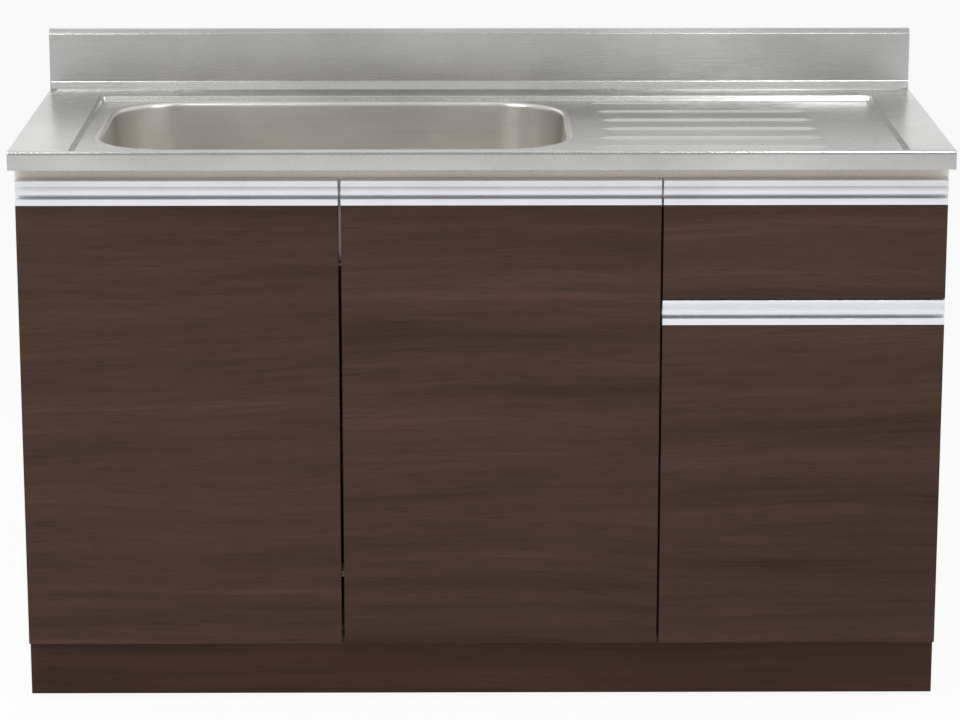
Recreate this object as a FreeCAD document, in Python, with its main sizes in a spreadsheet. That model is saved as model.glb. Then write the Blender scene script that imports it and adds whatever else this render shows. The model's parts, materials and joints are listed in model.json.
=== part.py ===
import FreeCAD, Part

import math
import os
import re

from FreeCAD import Placement, Rotation, Vector
import Sketcher

# A kitchen sink unit: a boarded cabinet with a pressed stainless worktop and bowl, three
# hinged doors, a drawer on rollers and a trapped waste with lift-out basket and cover.
# The frame: origin on the floor under the middle of the box, X to the right seen from the
# front, Y to the back, Z up. All lengths are millimetres.

sizes = {
    # the whole unit
    "unit_width": 1300,
    "unit_depth": 550,
    "worktop_height": 800,
    "backguard_height": 90,
    # worktop pressing
    "sheet_thickness": 1,
    "lip_height": 26,
    "lip_radius": 5,
    "bead_width": 12,
    "recess_drop": 8,
    "ledge_left": 87,
    "ledge_right": 67,
    "ledge_rear": 88,
    "backguard_depth": 15,
    "backguard_fold": 7,
    "cove_height": 11,
    "cove_depth": 13,
    "rib_pitch": 73,
    "rib_width": 16,
    "rib_crest": 7,
    "rib_rise": 2,
    "rib_front_margin": 67,
    "rib_right_margin": 100,
    "rib_bowl_margin": 51,
    "rib_arc_radius": 850,
    # sink bowl, measured to the inside of its walls
    "bowl_from_left": 113,
    "bowl_from_front": 67,
    "bowl_span_x": 658,
    "bowl_span_y": 387,
    "bowl_drop": 175,
    "bowl_corner": 100,
    "bowl_floor_radius": 35,
    "rim_width": 22,
    "rim_width_rear": 6,
    "core_clearance": 8,
    # carcass
    "carcass_inset": 4,
    "carcass_setback": 47,
    "board_thickness": 15,
    "back_thickness": 3,
    "plinth_height": 86,
    "plinth_setback": 12,
    "plinth_thickness": 16,
    "top_rail_height": 60,
    "rear_rail_height": 80,
    "drawer_rail_depth": 80,
    "wall_hole_radius": 4,
    "wall_hole_spacing": 900,
    "block_size": 30,
    # shelf
    "shelf_floor_gap": 229,
    "shelf_setback": 48,
    "shelf_side_gap": 1,
    "shelf_pin_radius": 2.5,
    "shelf_pin_inlet": 8,
    "shelf_pin_reach": 10,
    "shelf_pin_setback": 40,
    # fronts
    "front_thickness": 20,
    "front_air": 2,
    "front_reveal": 2.5,
    "left_door_width": 444.5,
    "centre_door_width": 443,
    "gap_between_doors": 4,
    "gap_beside_drawer": 3,
    "gap_under_drawer": 2,
    "rail_show": 19,
    "drawer_front_height": 168,
    "divider_drop": 1,
    # handle extrusion on the upper edge of every front
    "handle_height": 35,
    "handle_wall": 2,
    "foot_height": 7.5,
    "finger_slot": 6,
    "finger_depth": 16,
    "finger_rise": 13,
    "nose_height": 10,
    "nose_proud": 0.6,
    "groove_height": 4,
    "groove_depth": 2,
    "tongue_width": 4,
    "tongue_height": 8,
    "tongue_from_front": 8,
    # cup hinges: places are inward from the door's edge and forward of the carcass
    "hinge_end_distance": 80,
    "arm_pivot_inward": 36,
    "arm_pivot_backward": 17,
    "cup_pivot_inward": 11,
    "cup_pivot_forward": 5.8,
    "link_bend_inward": 27,
    "link_bend_forward": 8,
    "link_thickness": 2.2,
    "link_width": 16,
    "barrel_radius": 2.3,
    "hinge_pin_radius": 1.5,
    "cup_radius": 17.5,
    "cup_wall": 1.2,
    "cup_drop": 12.2,
    "cup_edge_distance": 4,
    "ear_thickness": 1,
    "ear_span": 64,
    "ear_offset": 3,
    "ear_width": 11.5,
    "cheek_thickness": 2,
    "cheek_gap": 0.4,
    "arm_web": 2,
    "plate_thickness": 2,
    "plate_wing": 2,
    "plate_span": 48,
    "plate_length": 58,
    "plate_setback": 26,
    "plate_screw_setback": 37,
    "plate_screw_spacing": 32,
    "screw_radius": 2,
    "screw_head_radius": 4,
    "screw_head_height": 2,
    "screw_length": 12,
    "screw_clearance": 0.05,
    # bumpers
    "bumper_radius": 4,
    "bumper_clearance": 0.3,
    "bumper_inset": 16,
    # drawer box and its roller runners
    "drawer_box_length": 450,
    "drawer_side_thickness": 12,
    "drawer_side_height": 100,
    "drawer_rise": 12,
    "drawer_back_drop": 14,
    "drawer_bottom_thickness": 4,
    "drawer_bottom_rise": 8,
    "groove_inlet": 6,
    "groove_clearance": 0.1,
    "runner_gap": 12.5,
    "runner_gauge": 1.2,
    "runner_flange": 9,
    "runner_length": 430,
    "runner_front_gap": 32,
    "slide_web_height": 17,
    "slide_ledge_gap": 3,
    "bracket_reach": 15,
    "bracket_drop": 4,
    "roller_level_rise": 20,
    "roller_radius": 10,
    "roller_width": 6,
    "roller_offset": 2.5,
    "roller_play": 0.3,
    "roller_pin_radius": 2,
    "roller_bore_clearance": 0.06,
    "front_roller_rise": 3,
    "front_roller_lead": 14,
    "rear_roller_back": 18,
    # waste
    "waste_from_left": 442,
    "waste_from_front": 335,
    "neck_radius": 69,
    "neck_wall": 3,
    "neck_clearance": 0.5,
    "neck_drop": 57,
    "bucket_radius": 60,
    "bucket_drop": 117,
    "pipe_bore_radius": 17,
    "spigot_radius": 22,
    "spigot_length": 45,
    "hose_tail_radius": 20,
    "hose_tail_length": 20,
    "standpipe_radius": 19,
    "standpipe_rise": 37,
    "flange_radius": 80,
    "flange_thickness": 1.5,
    "flange_skirt": 17,
    "flange_seat": 4,
    "flange_gauge": 2,
    "thread_clearance": 0.1,
    "gasket_radius": 82,
    "gasket_thickness": 3,
    "nut_height": 15,
    "nut_corner_radius": 84,
    "outlet_nut_height": 18,
    "outlet_nut_corner_radius": 29,
    "outlet_nut_lift": 22,
    "bell_radius": 32,
    "bell_wall": 2.5,
    "bell_rise": 9,
    "bell_height": 43,
    "bell_foot": 6,
    "basket_rim_radius": 63,
    "basket_radius": 58,
    "basket_wall": 1.5,
    "basket_drop": 38.3,
    "basket_rim": 1.7,
    "basket_knob_radius": 4,
    "basket_knob_height": 25,
    "lift_clearance": 0.3,
    "cover_radius": 63,
    "cover_skirt": 2.5,
    "cover_height": 6,
    "cover_thickness": 3,
    "cover_hole_radius": 14,
    "floor_hole_radius": 37.5,
}
rib_count = 6

doc = FreeCAD.newDocument("SinkUnit")
sheet = doc.addObject("Spreadsheet::Sheet", "Sizes")
for row, (alias, size) in enumerate(sizes.items(), start=1):
    sheet.set(f"A{row}", alias)
    sheet.set(f"B{row}", str(size))
    sheet.setAlias(f"B{row}", alias)
doc.recompute()

probe = doc.addObject("App::FeaturePython", "Probe")
probe.addProperty("App::PropertyFloat", "Value")
nodes = []


def bound(expression):
    # every size name in the expression becomes a reference to its cell
    def refer(word):
        name = word.group()
        return f"Sizes.{name}" if name in sizes else name

    return re.sub(r"[a-z][a-z_]*", refer, str(expression))


def bind(item, **places):
    for name, expression in places.items():
        item.setExpression(name.replace("__", "."), bound(expression))


def value(expression):
    bind(probe, Value=expression)
    probe.recompute()
    return probe.Value


def place(item, x="0", y="0", z="0"):
    bind(item, Placement__Base__x=x, Placement__Base__y=y, Placement__Base__z=z)


def block(name, left, right, front, back, bottom, top):
    item = doc.addObject("Part::Box", name)
    bind(item, Length=f"({right}) - ({left})")
    bind(item, Width=f"({back}) - ({front})")
    bind(item, Height=f"({top}) - ({bottom})")
    place(item, left, front, bottom)
    return item


turns = {
    "x": Rotation(Vector(0, 1, 0), 90),
    "y": Rotation(Vector(1, 0, 0), -90),
    "z": Rotation(),
}


def rod(name, axis, radius, length, x, y, z):
    # a cylinder that starts at x, y, z and runs along the axis
    item = doc.addObject("Part::Cylinder", name)
    item.Placement = Placement(Vector(), turns[axis])
    bind(item, Radius=radius, Height=length)
    place(item, x, y, z)
    return item


def prism(name, corners, radius, height, x, y, z):
    item = doc.addObject("Part::Prism", name)
    item.Polygon = corners
    bind(item, Circumradius=radius, Height=height)
    place(item, x, y, z)
    return item


def fuse(name, *parts):
    item = doc.addObject("Part::MultiFuse", name)
    item.Shapes = list(parts)
    return item


def group(name, *parts):
    item = doc.addObject("Part::Compound", name)
    item.Links = list(parts)
    return item


def cut(name, base, *tools):
    item = doc.addObject("Part::Cut", name)
    item.Base = base
    item.Tool = tools[0] if len(tools) == 1 else group(name + "_tools", *tools)
    return item


def copy(name, source, x="0", y="0", z="0"):
    item = doc.addObject("App::Link", name)
    item.LinkedObject = source
    item.LinkTransform = True
    place(item, x, y, z)
    return item


def mirrored(name, source, x="0"):
    item = doc.addObject("Part::Mirroring", name)
    item.Source = source
    item.Normal = Vector(1, 0, 0)
    bind(item, Base__x=x)
    return item


def keep(label, item):
    item.Label = label
    nodes.append(item)
    return item


# Bodies built from sketches


def originPlane(body, role):
    return next(plane for plane in body.Origin.OriginFeatures if plane.Role == role)


def outline(body, name, role, loops, offset="0"):
    # closed loops of straight lines; each corner is a pair of expressions
    sketch = body.newObject("Sketcher::SketchObject", name)
    sketch.AttachmentSupport = [(originPlane(body, role), "")]
    sketch.MapMode = "FlatFace"
    sketch.setExpression("AttachmentOffset.Base.z", bound(offset))
    for corners in loops:
        first = sketch.GeometryCount
        count = len(corners)
        ring = [Vector(math.cos(6.28 * n / count), math.sin(6.28 * n / count), 0) for n in range(count)]
        for n in range(count):
            sketch.addGeometry(Part.LineSegment(ring[n], ring[(n + 1) % count]))
        for n, (across, up) in enumerate(corners):
            line = first + n
            following = first + (n + 1) % count
            sketch.addConstraint(Sketcher.Constraint("Coincident", line, 2, following, 1))
            level = sketch.addConstraint(Sketcher.Constraint("DistanceX", line, 1, ring[n].x))
            sketch.setExpression(f"Constraints[{level}]", bound(across))
            level = sketch.addConstraint(Sketcher.Constraint("DistanceY", line, 1, ring[n].y))
            sketch.setExpression(f"Constraints[{level}]", bound(up))
    return sketch


def rectangle(left, right, low, high):
    return [(left, low), (right, low), (right, high), (left, high)]


def pad(body, name, sketch, length):
    feature = body.newObject("PartDesign::Pad", name)
    feature.Profile = sketch
    bind(feature, Length=length)
    doc.recompute()
    return feature


def pocket(body, name, sketch, length):
    # cuts against the sketch's normal, and must take something away
    before = body.Shape.Volume
    feature = body.newObject("PartDesign::Pocket", name)
    feature.Profile = sketch
    bind(feature, Length=length)
    doc.recompute()
    if body.Shape.Volume >= before - 1:
        raise ValueError(f"{name} cuts nothing")
    return feature


def revolve(name, corners, x, y):
    # a turned piece: corners are radius and height, turned about an upright axis at x, y
    body = doc.addObject("PartDesign::Body", name)
    sketch = outline(body, name + "_profile", "XZ_Plane", [corners])
    turned = body.newObject("PartDesign::Revolution", name + "_turned")
    turned.Profile = sketch
    turned.ReferenceAxis = (sketch, ["V_Axis"])
    turned.Angle = 360
    place(body, x, y)
    return body


def roundEdges(body, name, radius, test):
    # fillets every edge of the body's latest feature that passes the test
    base = body.Tip
    picked = [f"Edge{n}" for n, edge in enumerate(base.Shape.Edges, start=1) if test(edge)]
    if not picked:
        raise ValueError(f"{name} finds no edge")
    feature = body.newObject("PartDesign::Fillet", name)
    feature.Base = (base, picked)
    bind(feature, Radius=radius)
    doc.recompute()
    return feature


def roundCorners(body, name, radius, corners, low, high):
    # fillets the upright edges at the corners of a rectangle, between two levels
    places = [(value(x), value(y)) for x, y in corners]
    lowest = value(low) - 0.01
    highest = value(high) + 0.01

    def atCorner(edge):
        box = edge.BoundBox
        if box.ZLength < 0.5 or box.XLength > 0.01 or box.YLength > 0.01:
            return False
        if box.ZMin < lowest or box.ZMax > highest:
            return False
        return any(abs(box.XMin - x) < 0.01 and abs(box.YMin - y) < 0.01 for x, y in places)

    return roundEdges(body, name, radius, atCorner)


# Places that many pieces share

right = "(unit_width / 2)"
left = "(-unit_width / 2)"
front = "(-unit_depth / 2)"
rear = "(unit_depth / 2)"
carcassRight = "(unit_width / 2 - carcass_inset)"
carcassLeft = f"(-{carcassRight})"
innerRight = f"({carcassRight} - board_thickness)"
innerLeft = f"(-{innerRight})"
carcassFront = f"({front} + carcass_setback)"
carcassTop = "(worktop_height - lip_height)"
backPanelFront = f"({rear} - back_thickness)"
railFront = f"({backPanelFront} - board_thickness)"
plinthBack = f"({carcassFront} + plinth_setback + plinth_thickness)"
frontBack = f"({carcassFront} - front_air)"
frontFace = f"({frontBack} - front_thickness)"
floorTop = "(plinth_height + board_thickness)"

leftDoorLeft = f"({carcassLeft} + front_reveal)"
leftDoorRight = f"({leftDoorLeft} + left_door_width)"
centreDoorLeft = f"({leftDoorRight} + gap_between_doors)"
centreDoorRight = f"({centreDoorLeft} + centre_door_width)"
rightDoorLeft = f"({centreDoorRight} + gap_beside_drawer)"
rightDoorRight = f"({carcassRight} - front_reveal)"
partitionLeft = f"({centreDoorRight} + gap_beside_drawer / 2 - board_thickness / 2)"
partitionRight = f"({partitionLeft} + board_thickness)"

doorBottom = "plinth_height"
handleTop = f"({carcassTop} - rail_show)"
panelTop = f"({handleTop} - handle_height)"
drawerBottom = f"({handleTop} - drawer_front_height)"
lowerHandleTop = f"({drawerBottom} - gap_under_drawer)"
lowerPanelTop = f"({lowerHandleTop} - handle_height)"
dividerTop = f"({drawerBottom} - divider_drop)"
dividerBottom = f"({dividerTop} - board_thickness)"
shelfBottom = f"({floorTop} + shelf_floor_gap)"
shelfTop = f"({shelfBottom} + board_thickness)"
shelfFront = f"({carcassFront} + shelf_setback)"

recessLeft = f"({left} + ledge_left)"
recessRight = f"({right} - ledge_right)"
recessFront = f"({front} + bead_width)"
recessRear = f"({rear} - ledge_rear)"
recessFloor = "(worktop_height - recess_drop)"
coreTop = f"({recessFloor} - sheet_thickness)"
guardFront = f"({rear} - backguard_depth)"
guardTop = "(worktop_height + backguard_height)"
bowlLeft = f"({left} + bowl_from_left)"
bowlRight = f"({bowlLeft} + bowl_span_x)"
bowlFront = f"({front} + bowl_from_front)"
bowlRear = f"({bowlFront} + bowl_span_y)"
bowlFloor = f"({recessFloor} - bowl_drop)"
bowlUnderside = f"({bowlFloor} - sheet_thickness)"
rimLeft = f"({bowlLeft} - rim_width)"
rimRight = f"({bowlRight} + rim_width)"
rimFront = f"({bowlFront} - rim_width)"
rimRear = f"({bowlRear} + rim_width_rear)"
wasteX = f"({left} + waste_from_left)"
wasteY = f"({front} + waste_from_front)"

drawerLeft = f"({partitionRight} + runner_gap)"
drawerRight = f"({innerRight} - runner_gap)"
drawerBoxBottom = f"({dividerTop} + drawer_rise)"
drawerBoxTop = f"({drawerBoxBottom} + drawer_side_height)"
drawerBoxBack = f"({frontBack} + drawer_box_length)"
drawerFloor = f"({drawerBoxBottom} + drawer_bottom_rise)"
rollerLevel = f"({drawerBoxBottom} + roller_level_rise)"
frontRollerY = f"({carcassFront} + front_roller_lead)"
rearRollerY = f"({drawerBoxBack} - rear_roller_back)"

lowerHinge = f"({doorBottom} + hinge_end_distance)"
upperHinge = f"({panelTop} - hinge_end_distance)"
lowerDoorUpperHinge = f"({lowerPanelTop} - hinge_end_distance)"
cupCentre = "(cup_edge_distance + cup_radius)"
sideSeat = "(board_thickness - front_reveal)"
partitionSeat = "(board_thickness / 2 - gap_beside_drawer / 2)"
armSeat = f"({sideSeat} + plate_thickness)"
cheekReach = "(link_width / 2 + cheek_gap + cheek_thickness)"

# each hinged front: edges, top of its board, hinge side and hinge levels
doors = {
    "left": (leftDoorLeft, leftDoorRight, panelTop, "left", (lowerHinge, upperHinge)),
    "centre": (centreDoorLeft, centreDoorRight, panelTop, "right", (lowerHinge, upperHinge)),
    "right": (rightDoorLeft, rightDoorRight, lowerPanelTop, "right", (lowerHinge, lowerDoorUpperHinge)),
}


def makeWorktop():
    body = doc.addObject("PartDesign::Body", "worktop")
    t = "sheet_thickness"
    skin = outline(body, "skin_profile", "YZ_Plane", [[
        (front, carcassTop),
        (front, "worktop_height"),
        (f"{guardFront} - cove_depth", "worktop_height"),
        (guardFront, "worktop_height + cove_height"),
        (guardFront, f"{guardTop} - backguard_fold"),
        (f"{guardFront} + backguard_fold", guardTop),
        (rear, guardTop),
        (rear, carcassTop),
    ]], offset=left)
    pad(body, "skin", skin, "unit_width")
    height = value("worktop_height")
    frontEdge = value(front)

    def onLip(edge):
        box = edge.BoundBox
        along = box.XLength > 100 and box.ZLength < 0.01
        return along and abs(box.ZMax - height) < 0.01 and abs(box.YMin - frontEdge) < 0.01

    roundEdges(body, "lip_round", "lip_radius", onLip)
    # the hollow under the skin; its corner behind the lip is bevelled to keep the gauge
    hollow = outline(body, "hollow_profile", "YZ_Plane", [[
        (f"{front} + {t}", carcassTop),
        (f"{front} + {t}", f"worktop_height - {t} - lip_radius"),
        (f"{front} + {t} + lip_radius", f"worktop_height - {t}"),
        (f"{guardFront} - cove_depth + {t} / 2", f"worktop_height - {t}"),
        (f"{guardFront} + {t}", f"worktop_height + cove_height - {t} / 2"),
        (f"{guardFront} + {t}", f"{guardTop} - backguard_fold - {t} / 2"),
        (f"{guardFront} + backguard_fold + {t} / 2", f"{guardTop} - {t}"),
        (f"{rear} - {t}", f"{guardTop} - {t}"),
        (f"{rear} - {t}", carcassTop),
    ]], offset=f"{right} - {t}")
    pocket(body, "hollow", hollow, f"unit_width - 2 * {t}")
    # the recessed deck: a block is added under the skin and the recess is cut into it
    deck = rectangle(f"{recessLeft} - {t}", f"{recessRight} + {t}",
                     f"{recessFront} - {t}", f"{recessRear} + {t}")
    pad(body, "deck", outline(body, "deck_outline", "XY_Plane", [deck], coreTop), f"recess_drop + {t} / 2")
    recess = rectangle(recessLeft, recessRight, recessFront, recessRear)
    pocket(body, "recess", outline(body, "recess_outline", "XY_Plane", [recess], "worktop_height"),
           "recess_drop")
    opening = rectangle(rimLeft, rimRight, rimFront, rimRear)
    pocket(body, "bowl_opening", outline(body, "opening_outline", "XY_Plane", [opening], recessFloor), t)
    # raised ribs of the drainboard, their left ends on a wide arc beside the bowl
    middleY = f"({bowlFront} + bowl_span_y / 2)"
    for number in range(rib_count):
        y = f"({recessFront} + rib_front_margin + {number} * rib_pitch)"
        start = (f"({bowlRight} + rib_bowl_margin - rib_arc_radius"
                 f" + sqrt(rib_arc_radius ^ 2 - ({y} - {middleY}) ^ 2))")
        profile = outline(body, f"rib_profile_{number}", "YZ_Plane", [[
            (f"{y} - rib_width / 2", recessFloor),
            (f"{y} + rib_width / 2", recessFloor),
            (f"{y} + rib_crest / 2", f"{recessFloor} + rib_rise"),
            (f"{y} - rib_crest / 2", f"{recessFloor} + rib_rise"),
        ]], offset=start)
        pad(body, f"rib_{number}", profile, f"{recessRight} - rib_right_margin - {start}")
    keep("worktop_sheet", body)


def makeBowl():
    body = doc.addObject("PartDesign::Body", "bowl")
    t = "sheet_thickness"
    outer = rectangle(f"{bowlLeft} - {t}", f"{bowlRight} + {t}", f"{bowlFront} - {t}", f"{bowlRear} + {t}")
    pad(body, "bowl_block", outline(body, "bowl_outer", "XY_Plane", [outer], bowlUnderside), "bowl_drop")
    roundCorners(body, "bowl_outer_corners", f"bowl_corner + {t}", outer, bowlUnderside, coreTop)
    under = value(bowlUnderside)
    roundEdges(body, "bowl_outer_floor", f"bowl_floor_radius + {t}",
               lambda edge: edge.BoundBox.ZMax < under + 0.01)
    # the rim is welded flush into the worktop's opening
    rim = rectangle(rimLeft, rimRight, rimFront, rimRear)
    pad(body, "rim", outline(body, "rim_outline", "XY_Plane", [rim], coreTop), t)
    space = doc.addObject("PartDesign::Body", "bowl_space")
    inner = rectangle(bowlLeft, bowlRight, bowlFront, bowlRear)
    pad(space, "space_block", outline(space, "space_outline", "XY_Plane", [inner], bowlFloor),
        f"bowl_drop + {t}")
    roundCorners(space, "space_corners", "bowl_corner", inner, bowlFloor, f"{recessFloor} + {t}")
    floor = value(bowlFloor)
    roundEdges(space, "space_floor", "bowl_floor_radius", lambda edge: edge.BoundBox.ZMax < floor + 0.01)
    hole = rod("waste_hole", "z", "neck_radius + neck_clearance", "3 * sheet_thickness",
               wasteX, wasteY, f"{bowlUnderside} - sheet_thickness")
    whole = cut("bowl_with_hole", body, space, hole)
    # cut where its walls begin to bend, the cuts edge to edge, so that collision pieces keep
    # close to the sheet: eight lengths of wall above four quarters of the floor
    bend = f"({bowlFloor} + bowl_floor_radius)"
    columns = (rimLeft, f"({bowlLeft} + bowl_corner)", f"({bowlRight} - bowl_corner)", rimRight)
    rows = (rimFront, f"({bowlFront} + bowl_corner)", f"({bowlRear} - bowl_corner)", rimRear)
    cells = [(columns[a], columns[a + 1], rows[b], rows[b + 1], bend, recessFloor)
             for a in range(3) for b in range(3) if (a, b) != (1, 1)]
    middleX = f"(({bowlLeft} + {bowlRight}) / 2)"
    middleY = f"(({bowlFront} + {bowlRear}) / 2)"
    cells += [(near, far, low, high, bowlUnderside, bend)
              for near, far in ((rimLeft, middleX), (middleX, rimRight))
              for low, high in ((rimFront, middleY), (middleY, rimRear))]
    lengths = []
    for number, faces in enumerate(cells):
        length = doc.addObject("Part::Common", f"bowl_length_{number}")
        length.Base = whole
        length.Tool = block(f"bowl_cell_{number}", *faces)
        lengths.append(length)
    keep("sink_bowl", group("bowl_lengths", *lengths))


def makeCores():
    # wooden cores glued under the pressing, clear of the bowl's walls
    t = "sheet_thickness"
    reach = f"({t} + core_clearance)"
    underLedge = f"(worktop_height - {t})"
    pieces = {
        "worktop_core_left": (f"{left} + {t}", f"{recessLeft} - {t}", f"{front} + {t} + lip_radius",
                              f"{guardFront} - cove_depth", carcassTop, underLedge),
        "worktop_core_right": (f"{recessRight} + {t}", f"{right} - {t}", f"{front} + {t} + lip_radius",
                               f"{guardFront} - cove_depth", carcassTop, underLedge),
        "worktop_core_rear": (f"{recessLeft} - {t}", f"{recessRight} + {t}", f"{recessRear} + {t}",
                              f"{guardFront} - cove_depth", carcassTop, underLedge),
        "worktop_core_front": (f"{recessLeft} - {t}", f"{recessRight} + {t}", f"{front} + {t}",
                               f"{bowlFront} - {reach}", carcassTop, coreTop),
        "worktop_core_drainboard": (f"{bowlRight} + {reach}", f"{recessRight} + {t}",
                                    f"{bowlFront} - {reach}", f"{recessRear} + {t}", carcassTop, coreTop),
        "backguard_core": (f"{left} + {t}", f"{right} - {t}", f"{guardFront} + {t}", f"{rear} - {t}",
                           carcassTop, f"{guardTop} - backguard_fold - {t}"),
    }
    for label, faces in pieces.items():
        keep(label, block(label + "_board", *faces))


def pilotHoles(name, face, side):
    # screw holes of the hinge plates in one board; side is the way into the board
    depth = "(screw_length + screw_clearance)"
    start = face if side > 0 else f"({face} - {depth})"
    levels = {"left": doors["left"], "partition": doors["centre"], "right": doors["right"]}[name][4]
    holes = []
    for number, level in enumerate(levels):
        for end in (-1, 1):
            holes.append(rod(f"pilot_{name}_{number}_{end + 1}", "x", "screw_radius + screw_clearance",
                             depth, start, f"{carcassFront} + plate_screw_setback",
                             f"{level} + {end} * plate_screw_spacing / 2"))
    return holes


def shelfPinPlaces():
    rows = (f"{shelfFront} + shelf_pin_setback", f"{railFront} - shelf_pin_setback")
    return rows, f"({shelfBottom} - shelf_pin_radius)"


def pinHoles(name, start):
    rows, level = shelfPinPlaces()
    length = "(shelf_pin_inlet + screw_clearance)"
    return [rod(f"pin_hole_{name}_{n}", "x", "shelf_pin_radius + screw_clearance", length, start, y, level)
            for n, y in enumerate(rows)]


def makeCarcass():
    def sidePanel(name, leftFace, rightFace, holes):
        board = block(f"{name}_board", leftFace, rightFace, carcassFront, backPanelFront, "0", carcassTop)
        toe = block(f"{name}_toe", f"{leftFace} - 1", f"{rightFace} + 1", f"{carcassFront} - 1",
                    plinthBack, "-1", "plinth_height")
        keep(name, cut(f"{name}_cut", board, toe, *holes))

    sidePanel("side_panel_left", carcassLeft, innerLeft, pilotHoles("left", innerLeft, -1))
    sidePanel("side_panel_right", innerRight, carcassRight,
              pilotHoles("right", innerRight, 1) + pinHoles("right", innerRight))

    board = block("partition_board", partitionLeft, partitionRight, carcassFront, backPanelFront,
                  floorTop, carcassTop)
    frontNotch = block("partition_front_notch", f"{partitionLeft} - 1", f"{partitionRight} + 1",
                       f"{carcassFront} - 1", f"{carcassFront} + board_thickness",
                       f"{carcassTop} - top_rail_height", f"{carcassTop} + 1")
    rearNotch = block("partition_rear_notch", f"{partitionLeft} - 1", f"{partitionRight} + 1",
                      railFront, f"{backPanelFront} + 1", f"{carcassTop} - rear_rail_height",
                      f"{carcassTop} + 1")
    holes = pilotHoles("partition", partitionLeft, 1)
    holes += pinHoles("partition", f"({partitionRight} - shelf_pin_inlet - screw_clearance)")
    keep("partition_panel", cut("partition_cut", board, frontNotch, rearNotch, *holes))

    floorBoard = block("floor_left_board", innerLeft, partitionRight, carcassFront, backPanelFront,
                       "plinth_height", floorTop)
    drainHole = rod("drain_hole", "z", "floor_hole_radius", "board_thickness + 2",
                    wasteX, wasteY, "plinth_height - 1")
    keep("bottom_panel_sink", cut("floor_left_cut", floorBoard, drainHole))
    keep("bottom_panel_right", block("floor_right_board", partitionRight, innerRight, carcassFront,
                                     backPanelFront, "plinth_height", floorTop))

    fixings = [rod(f"wall_fixing_{n}", "y", "wall_hole_radius", "board_thickness + back_thickness + 2",
                   f"{side} * wall_hole_spacing / 2", f"{railFront} - 1",
                   f"{carcassTop} - rear_rail_height / 2") for n, side in enumerate((-1, 1))]
    backBoard = block("back_board", carcassLeft, carcassRight, backPanelFront, rear,
                      "plinth_height", carcassTop)
    keep("back_panel", cut("back_cut", backBoard, *fixings))
    rearRail = block("rear_rail_board", innerLeft, innerRight, railFront, backPanelFront,
                     f"{carcassTop} - rear_rail_height", carcassTop)
    keep("top_rail_rear", cut("rear_rail_cut", rearRail, *fixings))
    keep("top_rail_front", block("front_rail_board", innerLeft, innerRight, carcassFront,
                                 f"{carcassFront} + board_thickness", f"{carcassTop} - top_rail_height",
                                 carcassTop))
    keep("base_rail_rear", block("base_rail_board", innerLeft, innerRight, railFront, backPanelFront,
                                 "0", "plinth_height"))
    keep("plinth", block("plinth_board", carcassLeft, carcassRight, f"{carcassFront} + plinth_setback",
                         plinthBack, "0", "plinth_height"))
    keep("drawer_divider", block("divider_board", partitionRight, innerRight, carcassFront,
                                 f"{carcassFront} + drawer_rail_depth", dividerBottom, dividerTop))

    corners = []
    rows = {"front": f"({carcassFront} + board_thickness)", "rear": f"({railFront} - block_size)"}
    for across, x in (("left", innerLeft), ("right", f"({innerRight} - block_size)")):
        for along, y in rows.items():
            corners.append(block(f"block_{along}_{across}", x, f"{x} + block_size", y, f"{y} + block_size",
                                 f"{carcassTop} - block_size", carcassTop))
    keep("corner_blocks", group("corner_block_group", *corners))


def makeShelf():
    keep("shelf_right", block("shelf_board", f"{partitionRight} + shelf_side_gap",
                              f"{innerRight} - shelf_side_gap", shelfFront, railFront, shelfBottom,
                              shelfTop))
    rows, level = shelfPinPlaces()
    starts = {
        "left": f"{partitionRight} - shelf_pin_inlet",
        "right": f"{innerRight} - shelf_pin_reach",
    }
    pins = []
    for number, y in enumerate(rows):
        for side, start in starts.items():
            pins.append(rod(f"shelf_pin_{side}_{number}", "x", "shelf_pin_radius",
                            "shelf_pin_inlet + shelf_pin_reach", start, y, level))
    keep("shelf_pins", group("shelf_pin_group", *pins))


def makeHandle(name, leftEdge, rightEdge, foot):
    # an extrusion with a finger slot under a rounded nose and a tongue into the board
    body = doc.addObject("PartDesign::Body", f"{name}_extrusion")
    noseFoot = "(foot_height + finger_slot)"
    noseTop = f"({noseFoot} + nose_height)"
    section = [
        ("tongue_from_front", "-tongue_height"),
        ("tongue_from_front + tongue_width", "-tongue_height"),
        ("tongue_from_front + tongue_width", "0"),
        ("front_thickness", "0"),
        ("front_thickness", "handle_height"),
        ("0", "handle_height"),
        ("0", f"{noseTop} + groove_height"),
        ("groove_depth", f"{noseTop} + groove_height"),
        ("groove_depth", noseTop),
        ("nose_proud", noseTop),
        ("-nose_proud / 2", f"{noseTop} - nose_height / 6"),
        ("-nose_proud", f"{noseTop} - nose_height / 2"),
        ("-nose_proud / 2", f"{noseTop} - nose_height * 5 / 6"),
        ("nose_proud", noseFoot),
        ("nose_proud + handle_wall", noseFoot),
        ("nose_proud + handle_wall", "foot_height + finger_rise"),
        ("finger_depth", "foot_height + finger_rise"),
        ("finger_depth", "foot_height"),
        ("0", "foot_height"),
        ("0", "0"),
        ("tongue_from_front", "0"),
    ]
    corners = [(f"{frontFace} + {back}", f"{foot} + {up}") for back, up in section]
    pad(body, f"{name}_length", outline(body, f"{name}_section", "YZ_Plane", [corners], leftEdge),
        f"{rightEdge} - {leftEdge}")
    keep(name, body)


def slottedBoard(name, leftEdge, rightEdge, bottom, top):
    # a front board with the slot that takes the handle's tongue
    board = block(f"{name}_board", leftEdge, rightEdge, frontFace, frontBack, bottom, top)
    slot = block(f"{name}_slot", f"{leftEdge} - 1", f"{rightEdge} + 1",
                 f"{frontFace} + tongue_from_front - groove_clearance",
                 f"{frontFace} + tongue_from_front + tongue_width + groove_clearance",
                 f"{top} - tongue_height - groove_clearance", f"{top} + 1")
    return board, slot


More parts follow.
